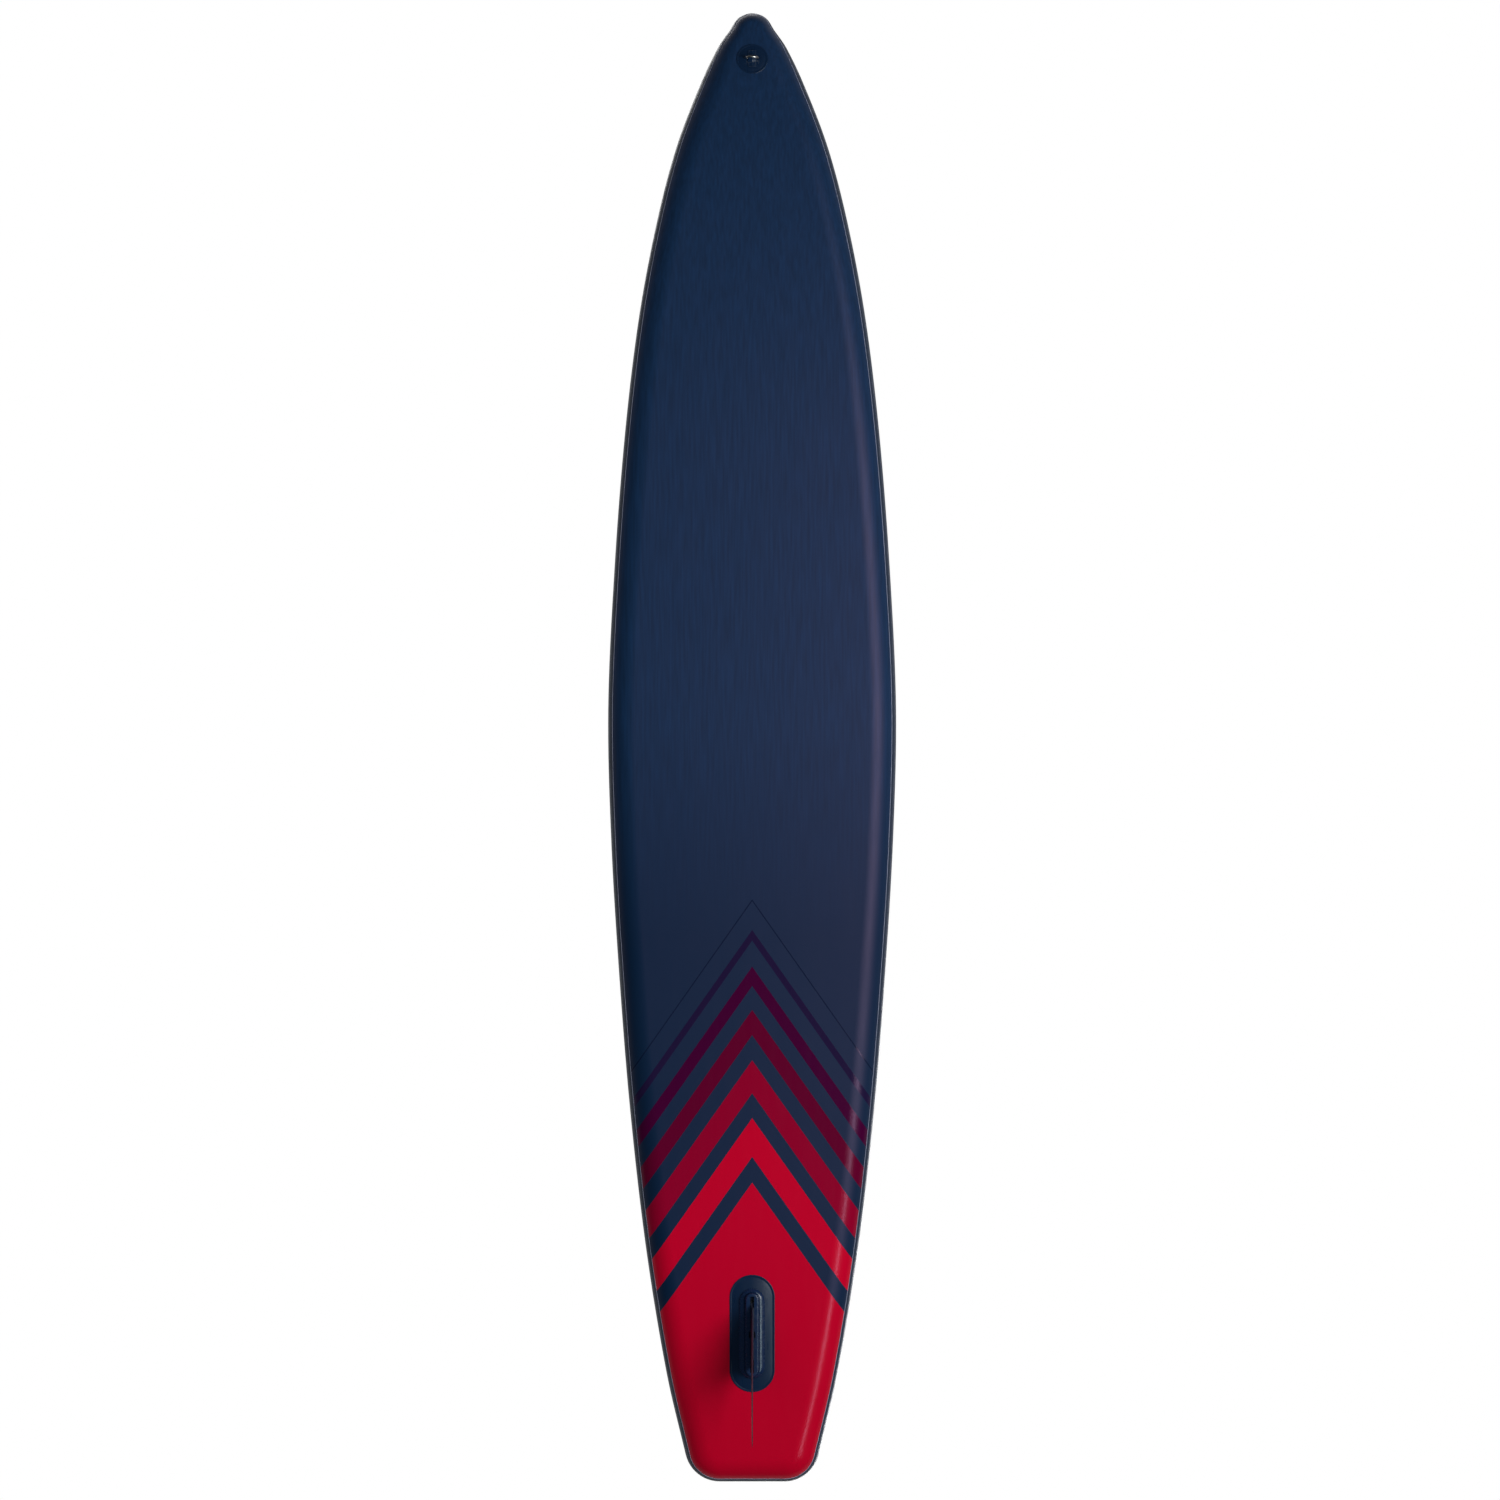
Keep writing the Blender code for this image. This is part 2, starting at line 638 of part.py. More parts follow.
def bezier(points, t):
    a, b, c, d = (Vector(p) for p in points)
    return (1 - t) ** 3 * a + 3 * (1 - t) ** 2 * t * b + 3 * (1 - t) * t**2 * c + t**3 * d


FIN_LEADING = ((0.0795, 0.0), (0.046, 0.090), (-0.070, 0.195), (-0.236, FIN_DEPTH))
FIN_TRAILING = ((-0.0825, 0.0), (-0.098, 0.070), (-0.135, 0.150), (-0.252, FIN_DEPTH))


def make_fin(frame):
    """A raked blade with a lens section. Its tongue fills the slot, with a tab in front for the screw."""
    rings = []
    for k in range(10):
        t = (k / 9) ** 0.9
        lead, trail = bezier(FIN_LEADING, t), bezier(FIN_TRAILING, t)
        thick = FIN_THICK[0] + (FIN_THICK[1] - FIN_THICK[0]) * t
        right = []
        for u in (0.0, 0.12, 0.35, 0.65, 1.0):
            lens = 0.10 + 0.90 * (4 * u * (1 - u)) ** 0.8 * (1.25 - 0.5 * u)
            point = lead + (trail - lead) * u
            right.append((thick / 2 * lens, point[0], FIN_ROOT_Z + point[1]))
        rings.append(right + [(-x, y, z) for x, y, z in reversed(right)])
    blade = loft("fin", rings, FIN_PLASTIC, frame, sharp=60.0)
    half = SLOT_HALF - RUNNING
    low, high = SLOT_FLOOR + RUNNING, FIN_ROOT_Z + 0.0008
    back, front = TONGUE_Y
    tongue = box("fin_tongue", (-half, back, low), (half, front, high), FIN_PLASTIC, frame)
    tab_low, tab_high = FIN_TAB_Z
    tab = box("fin_tab", (-half, front - 0.01, tab_low), (half, FIN_TAB_FRONT, tab_high), FIN_PLASTIC, frame)
    boolean(blade, tongue, "UNION")
    boolean(blade, tab, "UNION")
    pin_z = (GROOVE_Z[0] + GROOVE_Z[1]) / 2
    pin_frame = frame @ Matrix.Translation((0, CROSS_PIN_Y, pin_z))
    screw_frame = frame @ Matrix.Translation((0, SCREW_Y, 0))
    bore = CROSS_PIN_RADIUS + TOUCH
    hole = [(0, -0.02), (bore, -0.02), (bore, 0.02), (0, 0.02)]
    boolean(blade, lathe("pin_hole_cutter", hole, FIN_PLASTIC, pin_frame, 12, "X", False), "DIFFERENCE")
    hole = [(0, 0.0), (bore, 0.0), (bore, 0.04), (0, 0.04)]
    screw_hole = lathe("screw_hole_cutter", hole, FIN_PLASTIC, screw_frame, 12, ring=False)
    boolean(blade, screw_hole, "DIFFERENCE")

    end, bevel = CROSS_PIN_HALF, 0.0005
    profile = [
        (0, -end), (CROSS_PIN_RADIUS - bevel, -end), (CROSS_PIN_RADIUS, bevel - end),
        (CROSS_PIN_RADIUS, end - bevel), (CROSS_PIN_RADIUS - bevel, end), (0, end)]
    lathe("fin_cross_pin", profile, STEEL, pin_frame, 12, "X", False)
    half, length = NUT_PLATE_HALF
    low, high = NUT_PLATE_Z
    plate = box("fin_nut_plate", (-half, -length, low), (half, length, high), STEEL, screw_frame)
    boolean(plate, screw_hole, "DIFFERENCE")
    seat = tab_high + TOUCH
    profile = [
        (0, low - 0.0012), (SCREW_RADIUS - 0.0005, low - 0.0012), (SCREW_RADIUS, low - 0.0007),
        (SCREW_RADIUS, seat), (SCREW_HEAD, seat), (SCREW_HEAD, seat + 0.0036),
        (SCREW_HEAD - 0.0006, seat + 0.0042), (0.0030, seat + 0.0042), (0.0024, seat + 0.0020),
        (0, seat + 0.0020)]
    lathe("fin_screw", profile, STEEL, screw_frame, 16, ring=False)


# --- Valve -----------------------------------------------------------------------------------


def make_valve(frame, deck_skin, stitch_sheet):
    hole = [(0, -0.02), (VALVE_HOLE, -0.02), (VALVE_HOLE, 0.02), (0, 0.02)]
    cutter = lathe("valve_hole_cutter", hole, GREY_PLASTIC, frame, 24, ring=False)
    boolean(deck_skin, cutter, "DIFFERENCE")
    boolean(stitch_sheet, cutter, "DIFFERENCE")
    gasket = [(0.0200, 0.0), (0.0300, 0.0), (0.0300, 0.0012), (0.0200, 0.0012)]
    lathe("valve_gasket", gasket, RUBBER, frame)
    under = SEAT_Z - WEB_THICK
    body = [
        (0.0035, SEAT_Z), (0.0150, SEAT_Z), (0.0150, 0.0045), (0.0235, 0.0045), (0.0235, 0.0085),
        (0.0275, 0.0085), (0.0275, 0.0045), (0.0310, 0.0040), (0.0310, 0.0015), (NECK, 0.0015),
        (NECK, -VALVE_DEPTH), (0.0165, -VALVE_DEPTH), (0.0165, under), (0.0035, under)]
    barrel = lathe("valve_body", body, GREY_PLASTIC, frame, 24)
    for k in range(4):
        angle = math.pi / 4 + math.pi / 2 * k
        place = frame @ Matrix.Translation((0.009 * math.cos(angle), 0.009 * math.sin(angle), SEAT_Z))
        window = lathe(
            f"window_cutter_{k}", [(0, -0.01), (0.0035, -0.01), (0.0035, 0.01), (0, 0.01)],
            GREY_PLASTIC, place, 10, ring=False)
        boolean(barrel, window, "DIFFERENCE")
    layers = 2 * TOUCH + SKIN + STITCH_SHEET
    nut_top = -layers - TOUCH
    nut = [(0.0199, nut_top - 0.006), (0.0275, nut_top - 0.006), (0.0275, nut_top), (0.0199, nut_top)]
    lathe("valve_nut", nut, GREY_PLASTIC, frame, 18)
    head_foot = PLUNGER_TOP - 0.004
    seal = under - TOUCH
    plunger = [
        (0, PLUNGER_TOP), (0.0065, PLUNGER_TOP), (0.0065, head_foot), (0.0031, head_foot), (0.0031, seal),
        (0.0145, seal), (0.0145, seal - 0.0027), (0, seal - 0.0027)]
    lathe("valve_plunger", plunger, GREY_PLASTIC, frame, 18, ring=False)
    thick = 0.00045
    low, high = SEAT_Z + TOUCH + thick, head_foot - TOUCH - thick
    turns, per_turn = 3, 9
    coil = []
    for k in range(turns * per_turn + 1):
        angle = 2 * math.pi * k / per_turn
        height = low + (high - low) * k / (turns * per_turn)
        coil.append((0.0050 * math.cos(angle), 0.0050 * math.sin(angle), height))
    wire("valve_spring", coil, thick, STEEL, frame, sides=5, closed_loop=False)


def make_cap(frame):
    """The cap turns up about the end of its tether. Its own origin is on that pivot."""
    x, z = CAP_PIVOT
    pivot = frame @ Matrix.Translation((x, 0, z))
    place = Matrix.Translation((-x, 0, -z))
    profile = [
        (0, 0.0049), (0.0226, 0.0049), (0.0226, 0.0088), (0.0285, 0.0088), (0.0285, 0.0122),
        (0.0265, 0.0138), (0, 0.0138)]
    shifted = lathe("valve_cap", profile, GREY_PLASTIC, None, 24, ring=False)
    shifted.data.transform(place)
    shifted.matrix_world = pivot
    bar = box("cap_bar", (-0.003, -0.017, 0.0130), (0.003, 0.017, 0.0185), GREY_PLASTIC, frame)
    ear = box("cap_ear", (-0.0350, -0.004, 0.0091), (-0.0270, 0.004, 0.0119), GREY_PLASTIC, frame)
    boolean(shifted, bar, "UNION")
    boolean(shifted, ear, "UNION")
    ring = [(0.0278, 0.0049), (0.0305, 0.0049), (0.0305, 0.0061), (0.0278, 0.0061)]
    tether = lathe("cap_tether", ring, RUBBER, frame, 24)
    tab = box("tether_tab", (-0.0400, -0.005, 0.0049), (-0.0290, 0.005, 0.0061), RUBBER, frame)
    boolean(tether, tab, "UNION")


# --- The board -------------------------------------------------------------------------------


def make_board():
    hull_skin, deck_skin = make_skins()
    make_rail()
    stitch_sheet = make_stitch()
    deck_pad = make_pad("deck_pad", *DECK_PAD_Y, FOAM)
    make_pad("tail_pad", *TAIL_PAD_Y, FOAM)
    make_kick_pad()
    make_rings()
    make_handle("carry_handle", deck_frame(0.0, 0.0, 0.40), 0.145, 0.13, 0.032)
    make_handle("nose_handle", deck_frame(0.0, 1.575, 0.22), 0.085, 0.07, 0.026)
    make_handle("tail_handle", deck_frame(0.0, -1.80, 0.06, 90.0), 0.085, 0.07, 0.026)
    well = [stadium(0.058, 0.200, z, 5) for z in (THICKNESS - 0.01, THICKNESS + 0.02)]
    boolean(deck_pad, loft("handle_well_cutter", well, FOAM), "DIFFERENCE")
    fin_frame = hull_frame(0.0, FIN_BOX_Y, 2 * FIN_PATCH_HALF[1])
    make_fin_box(fin_frame)
    make_fin(fin_frame)
    valve_frame = deck_frame(*VALVE_AT, 0.062)
    make_valve(valve_frame, deck_skin, stitch_sheet)
    make_cap(valve_frame)


make_board()
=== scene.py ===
"""The looks of an inflatable touring paddleboard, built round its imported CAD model.

The board's skins, tapes and pads are rebuilt from the same plan outline, rocker and rail curve as the
CAD, in many more steps. Fittings are rebuilt where the CAD nodes and the record's joints place them.
Metres, +Y to the nose, +Z out of the deck. The camera looks up at the hull.
"""

import json
import math

import bmesh
import bpy
from mathutils import Matrix, Vector


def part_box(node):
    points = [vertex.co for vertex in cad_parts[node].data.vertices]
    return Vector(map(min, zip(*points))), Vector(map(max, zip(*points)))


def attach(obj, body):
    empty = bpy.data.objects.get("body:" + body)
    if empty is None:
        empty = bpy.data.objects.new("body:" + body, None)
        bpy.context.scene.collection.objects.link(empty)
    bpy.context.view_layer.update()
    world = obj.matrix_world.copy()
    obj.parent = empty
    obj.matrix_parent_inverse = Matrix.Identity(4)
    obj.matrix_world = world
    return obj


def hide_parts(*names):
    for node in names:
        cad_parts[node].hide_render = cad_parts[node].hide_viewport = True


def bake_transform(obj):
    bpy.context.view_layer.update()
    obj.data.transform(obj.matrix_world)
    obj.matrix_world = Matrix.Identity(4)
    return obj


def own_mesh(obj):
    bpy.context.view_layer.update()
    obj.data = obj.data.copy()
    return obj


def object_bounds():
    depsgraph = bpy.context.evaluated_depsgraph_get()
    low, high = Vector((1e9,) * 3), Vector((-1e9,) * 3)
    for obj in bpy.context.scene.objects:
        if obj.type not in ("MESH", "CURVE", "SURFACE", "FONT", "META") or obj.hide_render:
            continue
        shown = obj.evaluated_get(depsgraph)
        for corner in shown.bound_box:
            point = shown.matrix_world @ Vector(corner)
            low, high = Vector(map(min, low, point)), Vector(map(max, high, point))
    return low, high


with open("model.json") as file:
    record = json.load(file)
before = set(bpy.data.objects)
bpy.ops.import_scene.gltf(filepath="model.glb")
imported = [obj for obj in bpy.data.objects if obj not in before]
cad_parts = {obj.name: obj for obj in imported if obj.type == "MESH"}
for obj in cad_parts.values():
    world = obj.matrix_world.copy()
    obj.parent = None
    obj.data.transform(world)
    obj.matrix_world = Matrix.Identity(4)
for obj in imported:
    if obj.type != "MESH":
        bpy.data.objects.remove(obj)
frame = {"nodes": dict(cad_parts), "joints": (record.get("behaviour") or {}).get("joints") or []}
CAD_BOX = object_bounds()
JOINTS = {joint["name"]: joint for joint in frame["joints"]}

# Board
LENGTH = 3.81
THICKNESS = 0.15
TAIL_Y = -LENGTH / 2
NOSE_Y = LENGTH / 2
CLEAR = 0.0003

# Plan outline, as in the CAD: half of the straight tail, its corner, the nose, and half widths of the side
TAIL_FLAT = 0.084
TAIL_CORNER = 0.090
TAIL_ANGLE = math.radians(13.2)
NOSE_RADIUS = 0.056
NOSE_ANGLE = math.radians(26.0)
SIDE = (
    (0.28, 0.2205), (0.60, 0.273), (0.95, 0.3135), (1.30, 0.342), (1.65, 0.363), (1.99, 0.371),
    (2.35, 0.355), (2.70, 0.328), (3.00, 0.2925), (3.25, 0.247), (3.45, 0.1965), (3.62, 0.134),
    (3.72, 0.088))
SIDE_STEPS = 9
CORNER_STEPS = 12
NOSE_LIFT = 0.17
NOSE_LIFT_FROM = 0.75
TAIL_LIFT_FROM = -1.10
TAIL_RAMP_FROM = -1.305
TAIL_SLOPE = 0.026
RAIL_REACH = 0.070
NOSE_REACH = 0.036
NOSE_REACH_OVER = 0.20
SKIN = 0.0009
SEAM_TILT = 28.0
TAPE_TILT = 6.0
TAPE = 0.0007
SEAM_BEAD = 0.0011

# Pads and fittings
PAD = 0.005
PAD_MARGIN = 0.078
DECK_PAD_Y = (-1.18, 0.62)
TAIL_PAD_Y = (-1.50, -1.20)
PAD_CORNER = 0.055
WELL_HALF = (0.058, 0.200)
BINDING = 0.0045
PATCH = 0.0010
GLUE = 0.0001
WIRE = 0.0025
RING_HALF = 0.0155
RING_LEG = 0.008
TAB_HALF = 0.011
TAB = 0.0014
TAB_REACH = 0.024
TAB_ARCH = 0.0085
WEB_HALF = 0.019
WEB = 0.0022
GRIP_HALF = (0.023, 0.011)
GRIP_STEPS = 36
HANDLE_BOW = 0.016
HANDLE_FOOT = 0.014
HANDLES = (
    ("carry", 0.145, 0.13, 0.032),
    ("nose", 0.085, 0.07, 0.026),
    ("tail", 0.085, 0.07, 0.026),
)
TOW_PATCH = 0.041
RING_PATCH = 0.035
FIN_PATCH_HALF = (0.058, 0.151)
FIN_PATCH = 0.0012
FIN_BOX_HEIGHT = 0.024
FIN_DEPTH = 0.214
FIN_THICK = (0.0070, 0.0024)

# Valve: its heights are from the deck under its gasket
VALVE_HOLE = 0.0205
GASKET = 0.0012
VALVE_WEB = (-0.017, -0.014)
VALVE_DEPTH = 0.030
STEM_HEAD = -0.0055
SPRING_WIRE = 0.00045
SPRING_RADIUS = 0.0050
SPRING_TURNS = 3

# Printed chevrons: each runs across the centreline at a place and falls back at this slope to the sides
ARM_SLOPE = math.tan(math.radians(54.8))
FIELD_FROM = -1.126
# The navy behind the chevrons is a darker ink, which fades in between these
PRINT_FADE = (0.05, -0.50)
# Middle and half height along the centreline, and colour
STRIPES = (
    (-0.4028, 0.0024, "0d1a33"),
    (-0.4927, 0.0136, "1e1437"),
    (-0.5977, 0.0247, "40002f"),
    (-0.7160, 0.0321, "5e0028"),
    (-0.8550, 0.0422, "8d0028"),
    (-1.0105, 0.0496, "c00028"),
)

# The hull's gloss, and the pitch of the scrim under its coating
GLOSS_TINT = (1.0, 0.62, 0.92, 1.0)
SCRIM_PITCH = 0.0011

# Studio: the camera is this far below the board and sees this much of it, centred here
CAMERA_BELOW = 12.0
VIEW_SIDE = 3.842
VIEW_CENTRE = (0.0055, -0.018)
FLOOR_HALF = 45.0
FLOOR_GLOW = 0.42
# Strength of the even light, and of what is mirrored straight below and from the side
WORLD_LIGHT = 0.21
REFLECTED = (0.01, 0.75)
REFLECTED_FROM = 0.7


# --- Materials -------------------------------------------------------------------------------


def srgb(code):
    """The linear colour of a web colour code."""
    found = []
    for k in (0, 2, 4):
        value = int(code[k:k + 2], 16) / 255
        found.append(value / 12.92 if value <= 0.04045 else ((value + 0.055) / 1.055) ** 2.4)
    return (*found, 1.0)


class Graph:
    """A node tree built one node at a time."""

    def __init__(self, tree):
        self.tree = tree

    def node(self, kind, inputs=(), **settings):
        made = self.tree.nodes.new("ShaderNode" + kind)
        for setting, value in settings.items():
            setattr(made, setting, value)
        for key, value in dict(inputs).items():
            if isinstance(value, bpy.types.NodeSocket):
                self.tree.links.new(value, made.inputs[key])
            else:
                made.inputs[key].default_value = value
        return made

    def ranged(self, value, low, high, to_low=0.0, to_high=1.0):
        inputs = {"Value": value, "From Min": low, "From Max": high, "To Min": to_low, "To Max": to_high}
        return self.node("MapRange", inputs).outputs[0]


class Look(Graph):
    """A Principled material. Coordinates are the object's own, in metres."""

    def __init__(self, name, colour="808080", roughness=0.5, metallic=0.0, **constants):
        self.material = bpy.data.materials.new(name)
        self.material.use_nodes = True
        super().__init__(self.material.node_tree)
        self.shader = self.tree.nodes["Principled BSDF"]
        self.shader.inputs["Base Color"].default_value = srgb(colour)
        self.shader.inputs["Roughness"].default_value = roughness
        self.shader.inputs["Metallic"].default_value = metallic
        for socket, value in constants.items():
            self.shader.inputs[socket.replace("_", " ")].default_value = value
        self.where = self.tree.nodes.new("ShaderNodeTexCoord").outputs["Object"]
        self.normal = None

    def maths(self, operation, *values):
        return self.node("Math", enumerate(values), operation=operation).outputs[0]

    def mix(self, factor, first, second):
        return self.node("Mix", {0: factor, 6: first, 7: second}, data_type="RGBA").outputs[2]

    def stretched(self, x, y, z):
        return self.node("Mapping", {"Vector": self.where, "Scale": (x, y, z)}).outputs[0]

    def noise(self, scale, detail=3.0, rough=0.5, vector=None):
        inputs = {"Vector": vector or self.where, "Scale": scale, "Detail": detail, "Roughness": rough}
        return self.node("TexNoise", inputs).outputs["Fac"]

    def waves(self, axis, pitch, distortion=0.0):
        """Sine ridges with this spacing in metres."""
        inputs = {"Vector": self.where, "Scale": math.pi / 10 / pitch, "Distortion": distortion}
        wave = self.node("TexWave", inputs, wave_type="BANDS", bands_direction=axis, wave_profile="SIN")
        return wave.outputs["Fac"]

    def bump(self, height, strength, distance):
        inputs = {"Height": height, "Strength": strength, "Distance": distance}
        if self.normal:
            inputs["Normal"] = self.normal
        self.normal = self.node("Bump", inputs).outputs[0]
        self.tree.links.new(self.normal, self.shader.inputs["Normal"])

    def paint(self, socket, value):
        self.tree.links.new(value, self.shader.inputs[socket])

    def dye(self, factor, light, dark):
        self.paint("Base Color", self.mix(factor, srgb(light), srgb(dark)))

    def polish(self, factor, low, high):
        """Roughness that runs between these as a noise runs through its usual range."""
        self.paint("Roughness", self.ranged(factor, 0.3, 0.7, low, high))


def add_pvc_surface(look):
    """Slight ripples and the faint scrim that shows through coated cloth. Gives streaks, for its gloss."""
    scrim = look.maths("ADD", look.waves("X", SCRIM_PITCH), look.waves("Y", SCRIM_PITCH))
    look.bump(scrim, 0.12, 0.00012)
    ripples = look.noise(9.0, 2.0, 0.5, look.stretched(1.0, 0.35, 1.0))
    look.bump(ripples, 0.12, 0.006)
    return look.noise(60.0, 4.0, 0.6, look.stretched(1.0, 0.12, 1.0))


def hull_look():
    """Navy PVC printed with chevrons of ink, which is glossier than the cloth, over a red field."""
    look = Look("hull_print", Specular_IOR_Level=0.2, Specular_Tint=GLOSS_TINT)
    split = look.node("SeparateXYZ", {0: look.where})
    off_centre = look.maths("ABSOLUTE", split.outputs[0])
    wobble = look.ranged(look.noise(40.0, 2.0), 0.0, 1.0, -0.0004, 0.0004)
    place = look.maths("ADD", look.maths("MULTIPLY_ADD", off_centre, ARM_SLOPE, split.outputs[1]), wobble)
    streaks = add_pvc_surface(look)
    threads = look.ranged(look.noise(170.0, 2.0, 0.5, look.stretched(1.0, 0.05, 1.0)), 0.3, 0.7)
    aft = look.ranged(split.outputs[1], *PRINT_FADE)
    navy = look.mix(aft, look.mix(threads, srgb("0b2946"), srgb("0f3052")), srgb("03233f"))
    colour, printed = navy, None
    for middle, half, ink in STRIPES:
        mask = look.maths("COMPARE", place, middle, half)
        colour = look.mix(mask, colour, srgb(ink))
        printed = look.maths("MAXIMUM", printed, mask) if printed else mask
    field = look.maths("LESS_THAN", place, FIELD_FROM)
    # Painted shade: the red field goes slightly darker towards the tail.
    to_tail = look.ranged(split.outputs[1], FIELD_FROM, TAIL_Y)
    colour = look.mix(field, colour, look.mix(to_tail, srgb("be0028"), srgb("b70024")))
    printed = look.maths("MAXIMUM", printed, field)
    look.paint("Base Color", colour)
    rough = look.ranged(streaks, 0.3, 0.7, 0.46, 0.51)
    look.paint("Roughness", look.maths("MULTIPLY_ADD", printed, -0.26, rough))
    look.bump(printed, 0.3, 0.00008)
    return look.material


def pvc_look(name, light, dark, gloss=0.42, level=0.5):
    look = Look(name, light, Specular_IOR_Level=level)
    streaks = add_pvc_surface(look)
    look.polish(streaks, gloss - 0.05, gloss + 0.07)
    look.dye(look.maths("MULTIPLY", streaks, look.noise(5.0, 5.0, 0.6)), light, dark)
    return look.material


def foam_look(name, light, dark, pitch=None):
    """Brushed EVA foam, cut with crossed V grooves where a pitch is given, with painted shade down in the
    grooves.
    """
    look = Look(name, light, 0.85, Sheen_Weight=0.15)
    patchy = look.noise(14.0, 4.0, 0.6)
    base = look.mix(look.maths("MULTIPLY", patchy, 0.6), srgb(light), srgb(dark))
    if pitch:
        split = look.node("SeparateXYZ", {0: look.where})
        grooves = 1.0
        for sign in (1, -1):
            slant = look.maths("MULTIPLY_ADD", split.outputs[0], sign * 1.7, split.outputs[1])
            groove = look.ranged(look.maths("PINGPONG", slant, pitch), 0.0, 0.0030)
            grooves = look.maths("MINIMUM", grooves, groove)
        look.bump(grooves, 0.9, 0.0015)
        # Painted shade: the colour goes towards near black down in the grooves.
        base = look.mix(look.ranged(grooves, 0.0, 1.0, 0.75, 0.0), base, srgb("04070c"))
    grain = look.noise(1400.0, 4.0, 0.7)
    look.bump(grain, 0.5, 0.0004)
    look.paint("Base Color", base)
    look.polish(grain, 0.78, 0.95)
    return look.material


def webbing_look():
    look = Look("webbing", "121214", 0.8, Sheen_Weight=0.2)
    ribs = look.waves("X", 0.0016)
    picks = look.waves("Y", 0.0009, distortion=1.0)
    weave = look.maths("MULTIPLY", ribs, picks)
    look.bump(weave, 0.8, 0.0005)
    # Painted shade and highlight: the weave's hollows are darker and its raised threads lighter.
    look.dye(weave, "08080a", "26262b")
    look.polish(look.noise(700.0), 0.65, 0.9)
    return look.material


def neoprene_look():
    look = Look("neoprene", "17181b", 0.9, Sheen_Weight=0.35)
    knit = look.node("TexVoronoi", {"Vector": look.where, "Scale": 900.0}).outputs["Distance"]
    look.bump(knit, 0.5, 0.0005)
    look.dye(look.noise(60.0, 4.0), "101114", "222428")
    look.paint("Roughness", look.ranged(knit, 0.0, 1.0, 0.95, 0.75))
    return look.material


def steel_look(name, light, dark):
    look = Look(name, light, 0.2, 1.0)
    scratches = look.noise(900.0, 4.0, 0.7, look.stretched(1.0, 0.05, 1.0))
    look.bump(scratches, 0.12, 0.0002)
    look.polish(scratches, 0.22, 0.40)
    look.dye(look.noise(120.0), light, dark)
    return look.material


def plastic_look(name, light, dark, gloss=0.32, grain=0.00012, level=0.5):
    """Moulded plastic with a fine spark-eroded grain and a little scuffing."""
    look = Look(name, light, Specular_IOR_Level=level)
    texture = look.noise(1500.0, 3.0, 0.6)
    look.bump(texture, 0.35, grain)
    scuff = look.noise(90.0, 6.0, 0.7)
    look.dye(scuff, light, dark)
    look.polish(scuff, gloss - 0.06, gloss + 0.10)
    return look.material


def cloth_look(name, light, dark, pitch=0.0012):
    look = Look(name, light, 0.9)
    weave = look.maths("MULTIPLY", look.waves("X", pitch), look.waves("Y", pitch))
    look.bump(weave, 0.6, 0.0004)
    # Painted shade and highlight: the weave's hollows are darker and its raised threads lighter.
    look.dye(weave, dark, light)
    look.polish(look.noise(300.0), 0.8, 0.95)
    return look.material


HULL = hull_look()
RAIL = pvc_look("rail_pvc", "132944", "0e2036", 0.50, 0.2)
PATCH_PVC = pvc_look("patch_pvc", "0c233f", "081b33", 0.30, 0.25)
TAPE_PVC = pvc_look("tape_pvc", "12263f", "0d1d33", 0.50, 0.2)
# The raised seam beads are pale grey-lilac: a painted highlight along the tapes' edges.
BEAD = pvc_look("seam_bead_painted_highlight", "a9aec6", "8f94ad", 0.45, 0.2)
DECK = pvc_look("deck_pvc", "cfd2d6", "b9bdc3", 0.42)
FOAM = foam_look("deck_foam", "1e3553", "152841", 0.034)
FOAM_TRIM = foam_look("foam_trim", "8f1220", "6c0c17")
WEBBING = webbing_look()
NEOPRENE = neoprene_look()
STEEL = steel_look("stainless_steel", "d8d6d0", "b8b6b2")
# A darker copy of the steel, as painted shade on the fin screw down in its slot.
STEEL_PAINTED_SHADE = steel_look("steel_painted_shade", "2c2e32", "1c1e21")
BOX_PLASTIC = plastic_look("box_plastic", "13294b", "0e213f", 0.24)
FIN_PLASTIC = plastic_look("fin_plastic", "111a34", "0c1226", 0.42, level=0.3)
VALVE_PLASTIC = plastic_look("valve_plastic", "4a4d52", "3a3c41", 0.38)
RUBBER = plastic_look("rubber", "141415", "1e1e20", 0.70)
STITCH_CLOTH = cloth_look("drop_stitch", "d9d8d0", "b6b4aa")
THREAD = cloth_look("sewing_thread", "4a566c", "323c50", 0.0004)
LABEL = cloth_look("grip_binding", "8f1220", "5f0912", 0.0007)


# --- Building pieces -------------------------------------------------------------------------


def add_piece(name, points, faces, look, place=None, body="board", replaced=(), slot=None, sharp=35.0):
    """A mesh turned to face out and shaded smooth, riding on a CAD body in place of CAD nodes."""
    mesh = bpy.data.meshes.new(name)
    mesh.from_pydata([tuple(p) for p in points], [], faces)
    work = bmesh.new()
    work.from_mesh(mesh)
    bmesh.ops.recalc_face_normals(work, faces=work.faces)
    work.to_mesh(mesh)
    work.free()
    mesh.shade_smooth()
    mesh.set_sharp_from_angle(angle=math.radians(sharp))
    mesh.materials.append(look)
    piece = bpy.data.objects.new(name, mesh)
    bpy.context.scene.collection.objects.link(piece)
    piece.matrix_world = place or Matrix()
    if body:
        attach(piece, body)
    if replaced:
        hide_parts(*replaced)
    return piece


def bridged(rings, closed_loop=False):
    """Quads between rings that have the same number of points."""
    count = len(rings[0])
    faces = []
    for k in range(len(rings) - (not closed_loop)):
        here, there = k * count, (k + 1) % len(rings) * count
        for j in range(count):
            nxt = (j + 1) % count
            faces.append((here + j, here + nxt, there + nxt, there + j))
    return faces


